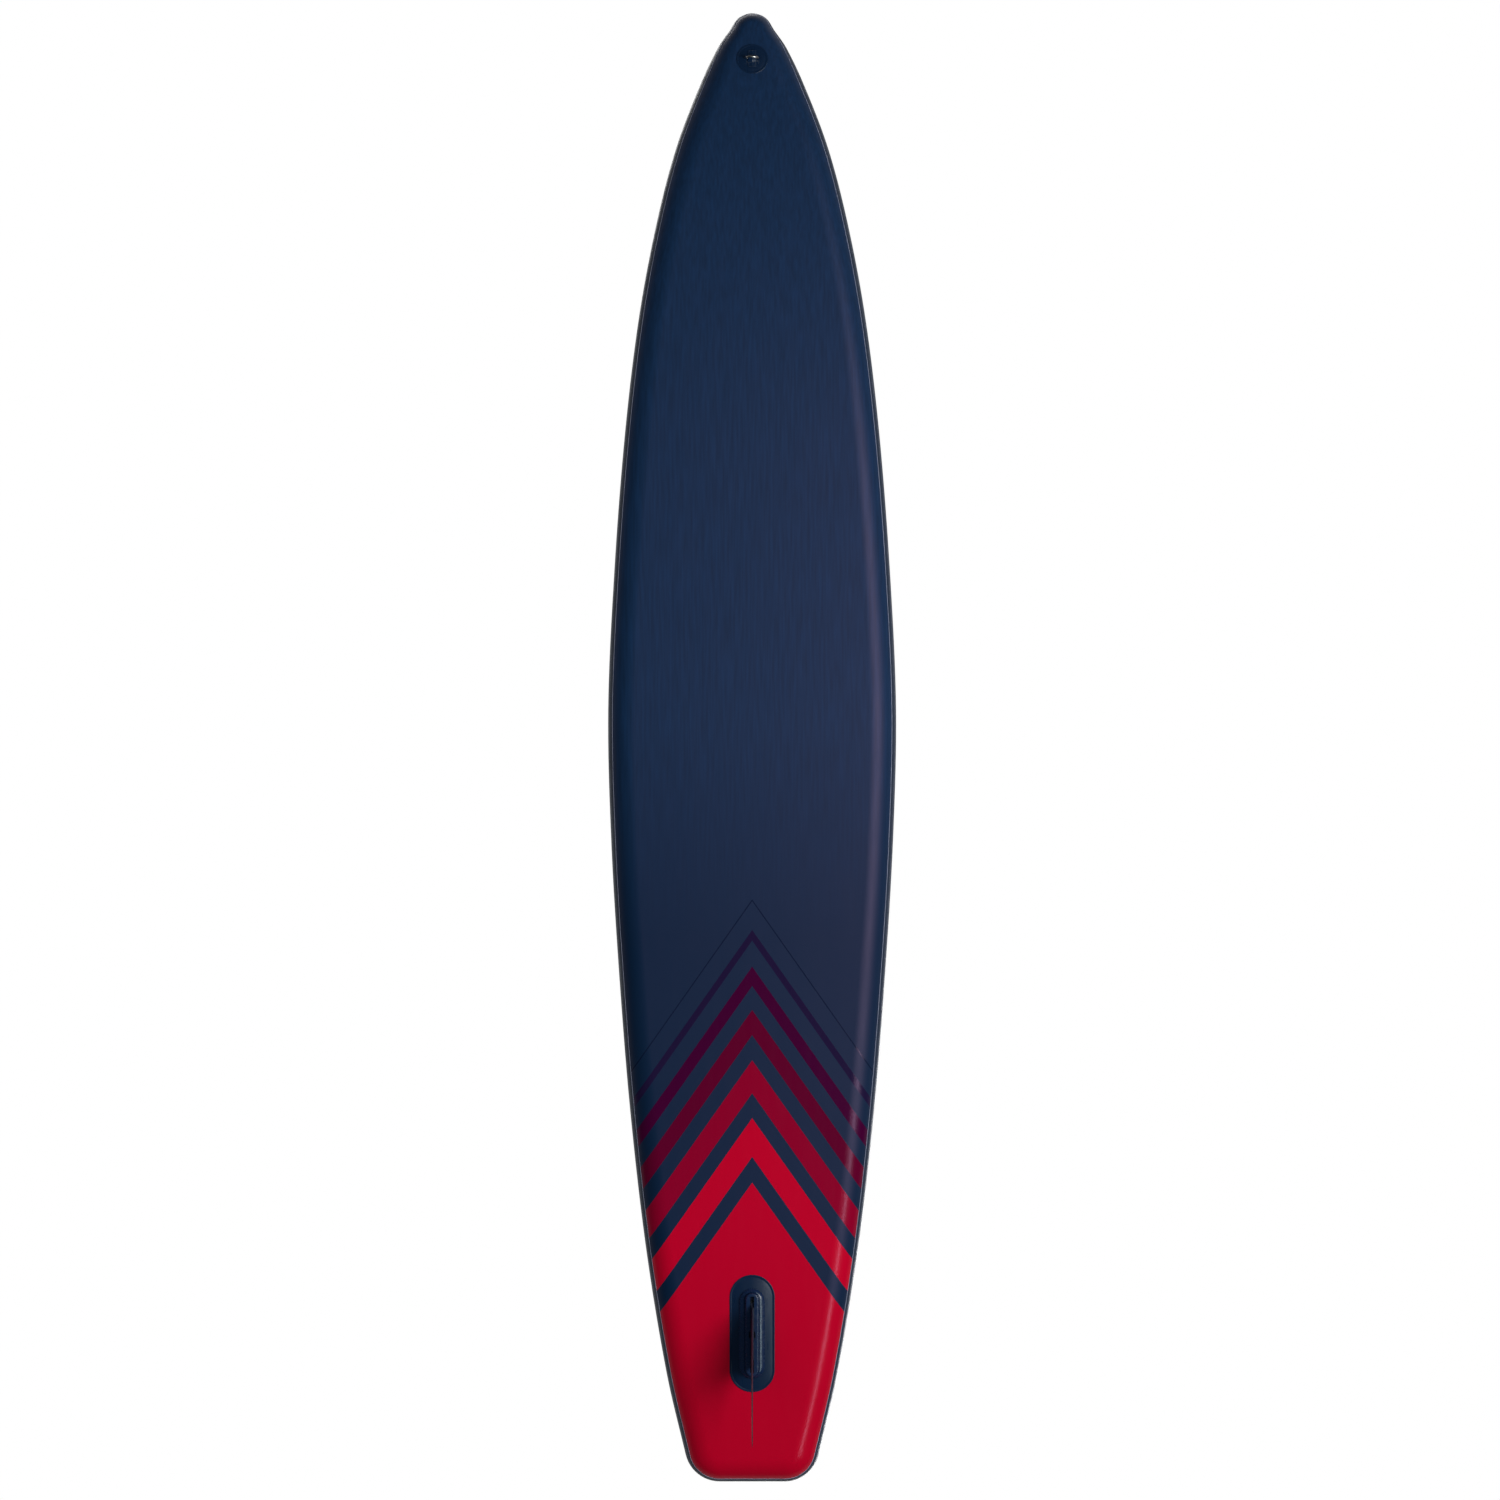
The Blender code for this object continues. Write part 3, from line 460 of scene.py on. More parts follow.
def loft(name, rings, look, closed_loop=False, **ways):
    count = len(rings[0])
    points = [p for ring in rings for p in ring]
    faces = bridged(rings, closed_loop)
    if not closed_loop:
        faces.append(tuple(range(count)))
        faces.append(tuple(range(len(points) - count, len(points))))
    return add_piece(name, points, faces, look, **ways)


def spun(columns, first_pole, last_pole):
    """Points and faces of a closed form: columns of points side by side round it, and a pole at each end."""
    count = len(columns[0])
    points = [p for column in columns for p in column] + [first_pole, last_pole]
    first, last = len(points) - 2, len(points) - 1
    faces = []
    for k in range(len(columns)):
        here, there = k * count, (k + 1) % len(columns) * count
        faces.append((first, here, there))
        faces.append((last, there + count - 1, here + count - 1))
        for j in range(count - 1):
            faces.append((here + j, here + j + 1, there + j + 1, there + j))
    return points, faces


def lathe(name, profile, look, steps=64, ring=False, wave=None, **ways):
    """A turned piece from a profile of (radius, height), pole to pole or round a ring."""
    columns = []
    for k in range(steps):
        angle = 2 * math.pi * k / steps
        swell = wave(angle) if wave else 0.0
        columns.append([
            ((r + swell * (r > 0)) * math.cos(angle), (r + swell * (r > 0)) * math.sin(angle), z)
            for r, z in profile])
    if ring:
        points, faces = [p for column in columns for p in column], bridged(columns, True)
    else:
        poles = (0, 0, profile[0][1]), (0, 0, profile[-1][1])
        points, faces = spun([column[1:-1] for column in columns], *poles)
    return add_piece(name, points, faces, look, **ways)


def rounded(profile, radius, steps=3):
    """A profile with every corner but its ends rounded off."""
    found = [profile[0]]
    for before, corner, after in zip(profile, profile[1:], profile[2:]):
        back, on = Vector(before) - Vector(corner), Vector(after) - Vector(corner)
        cut = min(radius, back.length / 2.2, on.length / 2.2)
        start, end = Vector(corner) + back.normalized() * cut, Vector(corner) + on.normalized() * cut
        for k in range(steps + 1):
            t = k / steps
            found.append(tuple((1 - t) ** 2 * start + 2 * t * (1 - t) * Vector(corner) + t * t * end))
    return found + [profile[-1]]


def tube(name, path, radius, look, sides=20, closed_loop=True, **ways):
    rings = []
    side = Vector((0, 0, 1))
    count = len(path)
    for k in range(count):
        if closed_loop:
            along = Vector(path[(k + 1) % count]) - Vector(path[k - 1])
        else:
            along = Vector(path[min(k + 1, count - 1)]) - Vector(path[max(k - 1, 0)])
        along.normalize()
        side = (side - along * side.dot(along)).normalized()
        other = along.cross(side)
        rings.append([
            Vector(path[k]) + radius * (
                math.cos(2 * math.pi * j / sides) * side + math.sin(2 * math.pi * j / sides) * other)
            for j in range(sides)])
    return loft(name, rings, look, closed_loop, sharp=60.0, **ways)


def band(name, path, half, thick, look, **ways):
    """Webbing along (y, z) points: a flat section with rounded edges, its width along X."""
    rings = []
    for k, (y, z) in enumerate(path):
        before, after = path[max(k - 1, 0)], path[min(k + 1, len(path) - 1)]
        along = Vector((after[0] - before[0], after[1] - before[1])).normalized()
        ring = []
        for side in (1, -1):
            for j in range(5):
                angle = side * math.pi / 2 * (1 - j / 2)
                across = side * (half - thick / 2) + math.cos(angle) * thick / 2 * side
                up = math.sin(angle) * thick / 2 * side
                ring.append((across, y - along[1] * up, z + along[0] * up))
        rings.append(ring)
    return loft(name, rings, look, **ways)


def stitches(name, runs, look, length=0.0026, gap=0.0014, thick=0.00032, **ways):
    """Rows of thread. Each run holds the points of a line and the direction out of the cloth."""
    points, faces = [], []
    for line, out in runs:
        out = Vector(out).normalized()
        travelled, due = 0.0, 0.0
        for a, b in zip(line, line[1:]):
            a, b = Vector(a), Vector(b)
            span = (b - a).length
            along = (b - a).normalized()
            side = along.cross(out).normalized()
            while due <= travelled + span - length * 0.6:
                middle = a + along * (due - travelled + length / 2)
                rings = []
                for share, swell in ((-0.5, 0.35), (-0.28, 1.0), (0.28, 1.0), (0.5, 0.35)):
                    rings.append([
                        middle + along * length * share + side * thick * 1.3 * swell * math.cos(angle)
                        + out * (thick * swell * math.sin(angle) + thick * 0.3)
                        for angle in (math.pi * j / 3 for j in range(6))])
                base = len(points)
                points += [p for ring in rings for p in ring]
                for face in [*bridged(rings), range(6), range(18, 24)]:
                    faces.append([base + j for j in face])
                due += length + gap
            travelled += span
    return add_piece(name, points, faces, look, **ways)


def stadium(half_width, half_length, steps=24):
    straight = half_length - half_width
    points = []
    for end in (1, -1):
        for k in range(steps + 1):
            angle = math.pi * k / steps + (0 if end > 0 else math.pi)
            points.append((half_width * math.cos(angle), end * straight + half_width * math.sin(angle)))
    return points


def carve(piece, cutters, sharp=35.0):
    """Cuts closed shapes out of a piece, for good, and removes them."""
    for cutter in cutters:
        change = piece.modifiers.new("cut", "BOOLEAN")
        change.object = cutter
        change.solver = "EXACT"
    graph = bpy.context.evaluated_depsgraph_get()
    mesh = bpy.data.meshes.new_from_object(piece.evaluated_get(graph))
    piece.modifiers.clear()
    piece.data = mesh
    mesh.shade_smooth()
    mesh.set_sharp_from_angle(angle=math.radians(sharp))
    for cutter in cutters:
        bpy.data.objects.remove(cutter)


def block(name, low, high, place, look):
    """A plain closed box."""
    corners = [(low[0], low[1]), (high[0], low[1]), (high[0], high[1]), (low[0], high[1])]
    rings = [[(x, y, z) for x, y in corners] for z in (low[2], high[2])]
    return loft(name, rings, look, place=place, body=None)


def eased_block(name, low, high, place, look, body, width, segments):
    """A box with rounded edges that rides on a body."""
    piece = block(name, low, high, place, look)
    ease = piece.modifiers.new("ease", "BEVEL")
    ease.width = width
    ease.segments = segments
    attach(piece, body)


# --- The board's surface ---------------------------------------------------------------------


def arc_points(centre, radius, start, end, steps):
    found = []
    for k in range(steps):
        angle = start + (end - start) * k / steps
        found.append(Vector((centre[0] + radius * math.cos(angle), centre[1] + radius * math.sin(angle))))
    return found


def half_outline():
    """The right-hand half of the plan outline, from the tail's corner to the tip of the nose."""
    tail_centre = (TAIL_FLAT, TAIL_Y + TAIL_CORNER)
    nose_centre = (0.0, NOSE_Y - NOSE_RADIUS)
    start = (
        TAIL_CORNER - TAIL_CORNER * math.sin(TAIL_ANGLE), TAIL_FLAT + TAIL_CORNER * math.cos(TAIL_ANGLE))
    end = (
        LENGTH - NOSE_RADIUS + NOSE_RADIUS * math.sin(NOSE_ANGLE), NOSE_RADIUS * math.cos(NOSE_ANGLE))
    knots = [start, *SIDE, end]
    slopes = [math.tan(TAIL_ANGLE)]
    for before, after in zip(knots, knots[2:]):
        slopes.append((after[1] - before[1]) / (after[0] - before[0]))
    slopes.append(-math.tan(NOSE_ANGLE))
    points = arc_points(tail_centre, TAIL_CORNER, -math.pi / 2, -TAIL_ANGLE, CORNER_STEPS)
    for k in range(len(knots) - 1):
        (s0, w0), (s1, w1) = knots[k], knots[k + 1]
        span = s1 - s0
        for step in range(SIDE_STEPS):
            t = step / SIDE_STEPS
            width = (
                (2 * t**3 - 3 * t**2 + 1) * w0 + (t**3 - 2 * t**2 + t) * span * slopes[k]
                + (3 * t**2 - 2 * t**3) * w1 + (t**3 - t**2) * span * slopes[k + 1])
            points.append(Vector((width, TAIL_Y + s0 + span * t)))
    points += arc_points(nose_centre, NOSE_RADIUS, NOSE_ANGLE, math.pi / 2, CORNER_STEPS)
    return points + [Vector((0.0, NOSE_Y))]


def inward(points, k):
    if k == 0:
        return Vector((0.0, 1.0))
    if k == len(points) - 1:
        return Vector((0.0, -1.0))
    along = (points[k] - points[k - 1]).normalized() + (points[k + 1] - points[k]).normalized()
    return Vector((-along[1], along[0])).normalized()


def reach_at(y):
    t = min((NOSE_Y - y) / NOSE_REACH_OVER, 1.0)
    return NOSE_REACH + (RAIL_REACH - NOSE_REACH) * t * t * (3 - 2 * t)


def rocker(y):
    if y > NOSE_LIFT_FROM:
        return NOSE_LIFT * ((y - NOSE_LIFT_FROM) / (NOSE_Y - NOSE_LIFT_FROM)) ** 2
    bend = TAIL_LIFT_FROM - TAIL_RAMP_FROM
    if y < TAIL_RAMP_FROM:
        return TAIL_SLOPE * (bend / 2 + TAIL_RAMP_FROM - y)
    if y < TAIL_LIFT_FROM:
        return TAIL_SLOPE * (TAIL_LIFT_FROM - y) ** 2 / (2 * bend)
    return 0.0


HALF = half_outline()


def wall_ring(depth, tilt):
    """Points round the board, this deep inside it. Tilt 90 is the edge of the hull's flat, -90 the deck's."""
    cos, sin = math.cos(math.radians(tilt)), math.sin(math.radians(tilt))
    right = []
    for k, point in enumerate(HALF):
        inset = depth + (reach_at(point[1]) - depth) * (1 - cos)
        x, y = point + inward(HALF, k) * inset
        right.append((x, y, THICKNESS / 2 - (THICKNESS / 2 - depth) * sin + rocker(y)))
    return right + [(-x, y, z) for x, y, z in reversed(right[:-1])]


def half_width(y):
    for low, high in zip(HALF, HALF[1:]):
        if low[1] <= y <= high[1] and high[1] > low[1]:
            return low[0] + (high[0] - low[0]) * (y - low[1]) / (high[1] - low[1])
    return 0.0


def across(start, count):
    """Strips from side to side over a ring of points."""
    last = start + count - 1
    faces = []
    for k in range((count - 1) // 2):
        faces.append(tuple(dict.fromkeys((start + k, start + k + 1, last - k - 1, last - k))))
    return faces


def flat_capped(name, rings, look, **ways):
    """A loft of symmetrical rings, closed by strips over the first and the last."""
    points = [p for ring in rings for p in ring]
    count = len(rings[0])
    faces = bridged(rings) + across(0, count) + across(len(points) - count, count)
    return add_piece(name, points, faces, look, **ways)


def spaced(low, high, steps):
    return [low + (high - low) * k / steps for k in range(steps + 1)]


def make_chamber():
    """Both skins, the rail between them, and over each joint a tape with a raised bead at its edges, pale as
    a painted highlight.
    """
    for name, look, side in (("hull", HULL, 1), ("deck", DECK, -1)):
        down = spaced(90.0, SEAM_TILT, 12)
        outer = [wall_ring(0.0, side * tilt) for tilt in down]
        inner = [wall_ring(SKIN, side * tilt) for tilt in reversed(down)]
        slot = "navy_pvc" if side > 0 else "deck_pvc"
        skin = flat_capped(
            f"{name}_cover", outer + inner, look, replaced=(f"{name}_skin",), slot=slot, sharp=50.0)
        if side < 0:
            hole = [(0, -0.02), (VALVE_HOLE, -0.02), (VALVE_HOLE, 0.02), (0, 0.02)]
            carve(skin, [lathe("hole", hole, STEEL, place=VALVE, body=None)])
    edge = SEAM_TILT - 0.3
    down = spaced(edge, -edge, 18)
    rings = [wall_ring(0.0, t) for t in down] + [wall_ring(SKIN, t) for t in reversed(down)]
    loft("rail_cover", rings, RAIL, True, replaced=("rail_band",), slot="navy_rail_pvc", sharp=50.0)
    for name, side in (("hull", 1), ("deck", -1)):
        turns = spaced(SEAM_TILT + TAPE_TILT, SEAM_TILT - TAPE_TILT, 8)
        outer = [wall_ring(-CLEAR - TAPE, side * t) for t in turns]
        spread = [turns[0] + 0.5, *turns[1:-1], turns[-1] - 0.5]
        inner = [wall_ring(-GLUE, side * t) for t in reversed(spread)]
        loft(
            f"{name}_seam_cover", outer + inner, TAPE_PVC, True,
            replaced=(f"{name}_seam_tape",), slot="navy_rail_pvc", sharp=50.0)
        # Each bead is raised, and its pale colour is a painted highlight.
        for edge_name, offset, half in (("outer", -TAPE_TILT - 0.7, 0.8), ("inner", TAPE_TILT + 0.5, 0.45)):
            centre = SEAM_TILT + offset
            bead = []
            for k in range(6):
                angle = math.pi * k / 3
                depth = -0.0002 - SEAM_BEAD / 2 * math.sin(angle)
                bead.append(wall_ring(depth, side * (centre + half * math.cos(angle))))
            loft(f"{name}_seam_{edge_name}", bead, BEAD, True, slot="navy_rail_pvc", sharp=80.0)


# --- Where fittings go -----------------------------------------------------------------------


class Ground:
    """The deck's or the hull's surface as seen from a fitting's own frame."""

    def __init__(self, place, side):
        self.place = place
        self.side = side

    def height(self, x, y):
        """How high the surface is above the fitting's own XY plane at a point of it."""
        z = 0.0
        for _ in range(3):
            point = self.place @ Vector((x, y, z))
            surface = rocker(point[1]) + (THICKNESS if self.side == "deck" else 0.0)
            z += (surface - point[2]) / self.place.col[2][2]
        return z


def surface_frame(x, y, side, turn=0.0):
    slope = (rocker(y + 0.02) - rocker(y - 0.02)) / 0.04
    height = rocker(y) + (THICKNESS if side == "deck" else 0.0)
    place = Matrix.Translation((x, y, height)) @ Matrix.Rotation(math.atan(slope), 4, "X")
    if side == "hull":
        place = place @ Matrix.Rotation(math.pi, 4, "Y")
    return place @ Matrix.Rotation(math.radians(turn), 4, "Z")


def centre_of(node):
    low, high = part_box(node)
    return (low + high) / 2


def axes(x, y, z, spot):
    """A frame with these axes at this spot."""
    place = Matrix((x, y, z)).transposed().to_4x4()
    place.translation = spot
    return place


def valve_frame():
    """On the deck, under the middle of the valve's gasket, with Z along the plunger."""
    axis = -Vector(JOINTS["valve_plunger_press"]["axis"])
    place = Matrix.Rotation(math.atan2(-axis[1], axis[2]), 4, "X")
    place.translation = centre_of("valve_gasket") - Vector((0, 0, GASKET / 2))
    return place


VALVE = valve_frame()


def disc(name, place, ground, radius, steps=72, **ways):
    """A round patch that follows the surface, with a pressed rim."""
    rim = (
        (radius, 0.0), (radius, 0.55), (radius - 0.0004, 0.85), (radius - 0.0012, 1.0),
        (radius - 0.0045, 1.0), (radius - 0.0052, 0.72), (radius - 0.0060, 0.72), (radius - 0.0068, 1.0),
        (radius * 0.5, 1.0))
    columns = []
    for k in range(steps):
        angle = 2 * math.pi * k / steps
        column = []
        for r, share in rim:
            x, y = r * math.cos(angle), r * math.sin(angle)
            column.append((x, y, ground.height(x, y) + share * PATCH))
        columns.append(column)
    middle = ground.height(0, 0)
    points, faces = spun(columns, (0, 0, middle), (0, 0, middle + PATCH))
    return add_piece(name, points, faces, PATCH_PVC, place=place, slot="navy_pvc", **ways)


# --- Pads ------------------------------------------------------------------------------------


def pad_edge(low, high, inset, steps=12):
    """One side of a pad's outline, inside the board's own and rounded at the pad's corners."""
    turns = [PAD_CORNER * (1 - math.cos(math.pi / 2 * k / steps)) for k in range(steps + 1)]
    stations = [low + d for d in turns] + [high - d for d in turns]
    stations += [p[1] for p in HALF if low + PAD_CORNER < p[1] < high - PAD_CORNER]
    middle = (low + high) / 2
    found = []
    for y in sorted(stations):
        short = PAD_CORNER - min(y - low, high - y, PAD_CORNER)
        corner = PAD_CORNER - math.sqrt(max(PAD_CORNER**2 - short**2, 0.0))
        shrink = 1 - inset / ((high - low) / 2)
        x = half_width(y) - PAD_MARGIN - corner - inset
        found.append((max(x, 0.001), middle + (y - middle) * shrink))
    return found


def make_pad(name, low, high, look, node):
    """A foam sheet with a rounded top edge that follows the deck."""
    rings = []
    for step, drop in ((0.0, 1.0), (0.0, 0.28), (0.0005, 0.10), (0.0014, 0.0)):
        side = [
            (x, y, THICKNESS + rocker(y) + CLEAR + PAD * (1 - drop)) for x, y in pad_edge(low, high, step)]
        rings.append(side + [(-x, y, z) for x, y, z in reversed(side)])
    piece = flat_capped(name, rings, look, replaced=(node,), slot="eva_foam")
    return piece


def make_kick_pad():
    """A shaped foam ridge, steep behind and sloped in front, with eased edges."""
    low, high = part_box("kick_pad")
    place = surface_frame(0.0, TAIL_PAD_Y[0] + 0.045, "deck")
    half = (high[0] - low[0]) / 2
    height, depth = 0.0218, 0.0545
    outline = [
        (-0.5, 0.0), (-0.47, 0.30), (-0.38, 0.88), (-0.22, 1.0), (-0.02, 0.90), (0.30, 0.35), (0.5, 0.0)]
    section = rounded(outline, 0.14, 5)
    rings = []
    stations = [-1.0, -0.997, -0.985, -0.96] + [k / 12 for k in range(-11, 12)] + [0.96, 0.985, 0.997, 1.0]
    for t in stations:
        close = max(abs(t) - 0.955, 0.0) / 0.045
        ease = math.sqrt(max(1 - close * close, 0.0)) * 0.55 + 0.45
        taper = 1 - 0.35 * t**4
        rings.append([
            (half * t, 0.016 * t * t + depth * u * taper, PAD + CLEAR + height * v * taper * ease)
            for u, v in section])
    piece = loft(
        "kick_pad_foam", rings, FOAM_TRIM, place=place, replaced=("kick_pad",), slot="eva_kick_foam",
        sharp=50.0)


def make_pads():
    deck = make_pad("deck_pad_foam", *DECK_PAD_Y, FOAM, "deck_pad")
    half, length = WELL_HALF[0] + BINDING, WELL_HALF[1] + BINDING
    shapes = [[(x, y, z) for x, y in stadium(half, length)] for z in (THICKNESS - 0.01, THICKNESS + 0.02)]
    carve(deck, [loft("well", shapes, FOAM, body=None)])
    make_pad("tail_pad_foam", *TAIL_PAD_Y, FOAM, "tail_pad")
    make_kick_pad()
    section = (
        (0.0, 0.0), (0.0, 0.0056), (0.0005, 0.0061), (BINDING, 0.0061), (BINDING + 0.0005, 0.0056),
        (BINDING + 0.0005, 0.0))
    rings = []
    for out, z in section:
        edge = stadium(WELL_HALF[0] + out, WELL_HALF[1] + out)
        rings.append([(x, y, THICKNESS + CLEAR + z) for x, y in edge])
    binding = loft("well_binding", rings, FOAM_TRIM, True, slot="eva_kick_foam")


# --- Rings -----------------------------------------------------------------------------------


def ring_path():
    """The middle line of a D-ring's wire: the bow, then the corners and the bar, which lies along X."""
    corner = 0.003
    bow = [
        (RING_HALF * math.cos(math.pi * k / 30), RING_LEG + RING_HALF * math.sin(math.pi * k / 30), 0.0)
        for k in range(31)]
    turns = []
    for sign, first in ((-1, math.pi), (1, 1.5 * math.pi)):
        for k in range(7):
            angle = first + math.pi / 2 * k / 6
            x = sign * (RING_HALF - corner) + corner * math.cos(angle)
            turns.append((x, corner + corner * math.sin(angle), 0.0))
    return bow + turns


def make_ring(name, side, patch_radius):
    """A welded D-ring, the folded tab that holds its bar, the tab's sewing, and the round patch."""
    joint = JOINTS[f"{name}_ring_swing"]
    axis = Vector(joint["axis"]).normalized()
    pivot = Vector(joint["pos_m"])
    base = surface_frame(pivot[0], pivot[1], side)
    out = base.col[2].to_3d()
    bar = (pivot - base.translation).dot(out)
    x = (axis - out * axis.dot(out)).normalized()
    place = axes(x, out.cross(x), out, pivot - out * bar)
    ground = Ground(place, side)
    disc(f"{name}_patch_pvc", place, ground, patch_radius, replaced=(f"{name}_patch",))
    flaps = []
    for y in spaced(-TAB_REACH, TAB_REACH, 60):
        if abs(y) >= TAB_ARCH:
            flaps.append((y, ground.height(0, y) + PATCH + GLUE + TAB / 2))
    over = WIRE + CLEAR + TAB / 2
    arch = [(-over * math.cos(math.pi * k / 24), bar + over * math.sin(math.pi * k / 24)) for k in range(25)]
    path = [p for p in flaps if p[0] < 0] + arch + [p for p in flaps if p[0] > 0]
    band(
        f"{name}_tab_pvc", path, TAB_HALF, TAB, PATCH_PVC, place=place, replaced=(f"{name}_tab",),
        slot="navy_pvc")
    runs = []
    for sign in (1, -1):
        loop = [(-0.0088, 0.0105), (0.0088, 0.0105), (0.0088, 0.0222), (-0.0088, 0.0222), (-0.0088, 0.0105)]
        line = [(u, sign * v, ground.height(u, sign * v) + PATCH + TAB + GLUE) for u, v in loop]
        runs.append((line, (0, 0, 1)))
    stitches(f"{name}_tab_thread", runs, THREAD, place=place, slot="navy_pvc")
    lying = Vector((0, 0, -1)) if side == "hull" else out.cross(axis).normalized()
    tube(
        f"{name}_ring_steel", ring_path(), WIRE, STEEL, place=axes(axis, lying, axis.cross(lying), pivot),
        body=f"{name}_ring_body", replaced=(f"{name}_ring",), slot="stainless_steel")


def make_rings():
    make_ring("tow", "hull", TOW_PATCH)
    make_ring("leash", "deck", RING_PATCH)
    for row in ("bow_aft", "bow_fore"):
        for side in ("starboard", "port"):
            make_ring(f"{row}_{side}", "deck", RING_PATCH)


# --- Handles ---------------------------------------------------------------------------------


def make_webbing(name, end, sign, place, anchor, grip, patch_radius):
    """One end of a handle: its patch, the webbing that bows up to the grip, and the sewing on the patch."""
    ground = Ground(place, "deck")
    spot = place @ Matrix.Translation((0, sign * anchor, 0))
    disc(
        f"{name}_handle_pvc_{end}", spot, Ground(spot, "deck"), patch_radius, 64,
        replaced=(f"{name}_handle_patch_{end}",))
    hold = anchor - HANDLE_FOOT
    path = [(0.0, 0.0), (grip / 4, 0.0)]
    for t in spaced(0.0, 1.0, 26):
        at = grip / 2 + (hold - grip / 2) * t
        foot = ground.height(0, at) + PATCH + WEB / 2 + GLUE
        path.append((at, foot * t * t * (3 - 2 * t) + HANDLE_BOW * math.sin(math.pi * t)))
    for t in spaced(0.1, 1.0, 9):
        at = hold + 0.030 * t
        path.append((at, ground.height(0, at) + PATCH + WEB / 2 + GLUE))
    path = [(sign * a, b) for a, b in path]
    if sign < 0:
        path.reverse()
    half = band(
        f"{name}_handle_web_{end}", path, WEB_HALF, WEB, WEBBING, place=place, body=None,
        replaced=(f"{name}_handle_webbing",) if sign > 0 else (), slot="webbing")
    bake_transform(half)
    line = []
    for u, v in (
        (-0.0155, -0.0115), (0.0155, -0.0115), (0.0155, 0.0125), (-0.0155, 0.0125), (-0.0155, -0.0115),
        (0.0155, 0.0125), (0.0155, -0.0115), (-0.0155, 0.0125)):
        line.append((u, v * sign, ground.height(u, sign * (anchor + v)) + PATCH + WEB + GLUE))
    stitches(f"{name}_handle_thread_{end}", [(line, (0, 0, 1))], THREAD, place=spot, slot="webbing")


def grip_section(wide, tall, y, pinch=0.0):
    """A round-cornered section across a grip. A pinch draws it in along the seams at its sides."""
    ring = []
    for k in range(GRIP_STEPS):
        angle = 2 * math.pi * k / GRIP_STEPS
        cos, sin = math.cos(angle), math.sin(angle)
        drawn = 1 - pinch * math.exp(-((abs(cos) - 1) / 0.02) ** 2)
        ring.append((
            GRIP_HALF[0] * wide * drawn * math.copysign(abs(cos) ** 0.8, cos), y,
            GRIP_HALF[1] * tall * math.copysign(abs(sin) ** 0.9, sin)))
    return ring


def make_handle(name, anchor, grip, patch_radius):
    """Webbing bowed up between two patches, with a padded sleeve round its middle."""
    node, body = f"{name}_handle_grip", f"{name}_grip"
    axis = Vector(JOINTS[f"{name}_grip_lift"]["axis"]).normalized()
    y = Vector((-1, 0, 0)) if name == "tail" else Vector((0, 1, 0))
    y = (y - axis * y.dot(axis)).normalized()
    place = axes(y.cross(axis), y, axis, centre_of(node))
    for end, sign in (("fore", 1), ("aft", -1)):
        make_webbing(name, end, sign, place, anchor, grip, patch_radius)
    length = grip - 0.004
    rings = []
    for t in spaced(-1.0, 1.0, 40):
        ends = max(abs(t) - 0.86, 0.0) / 0.14
        hem = 0.05 if 0.80 < abs(t) < 0.86 else 0.0
        size = 0.90 + 0.10 * math.sqrt(max(1 - ends * ends, 0.0)) - hem
        rings.append(grip_section(size, size, t * length / 2, 0.05 if abs(t) < 0.84 else 0.0))
    sleeve = loft(
        f"{name}_grip_sleeve", rings, NEOPRENE, place=place, body=body, replaced=(node,), slot="neoprene",
        sharp=60.0)
    for end, sign in (("fore", 1), ("aft", -1)):
        rings = []
        for offset, swell in ((0.0, 0.955), (0.0, 1.0), (0.0045, 1.0), (0.0045, 0.955)):
            at = sign * (length / 2 - 0.0005 - offset)
            rings.append(grip_section(swell * 0.93, swell * 0.97, at))
        loft(f"{name}_grip_binding_{end}", rings, LABEL, True, place=place, body=body, slot="neoprene")
    seam = []
    for sign in (1, -1):
        line = [(sign * GRIP_HALF[0] * 0.965, t * length / 2, 0.0) for t in spaced(-0.80, 0.80, 8)]
        seam.append((line, (sign, 0, 0)))
    stitches(f"{name}_grip_thread", seam, THREAD, place=place, body=body, slot="neoprene")


# --- Fin -------------------------------------------------------------------------------------


def fin_frame():
    """On the hull at the middle of the fin box: Z away from the hull and Y forward."""
    y = Vector(JOINTS["fin_slide"]["axis"]).normalized()
    z = Vector(JOINTS["fin_screw_turn"]["axis"]).normalized()
    screw = Vector(JOINTS["fin_screw_turn"]["pos_m"])
    return axes(y.cross(z), y, z, screw + y * (centre_of("fin_box_patch") - screw).dot(y))


def bezier(points, t):
    a, b, c, d = (Vector(p) for p in points)
    return (1 - t) ** 3 * a + 3 * (1 - t) ** 2 * t * b + 3 * (1 - t) * t**2 * c + t**3 * d


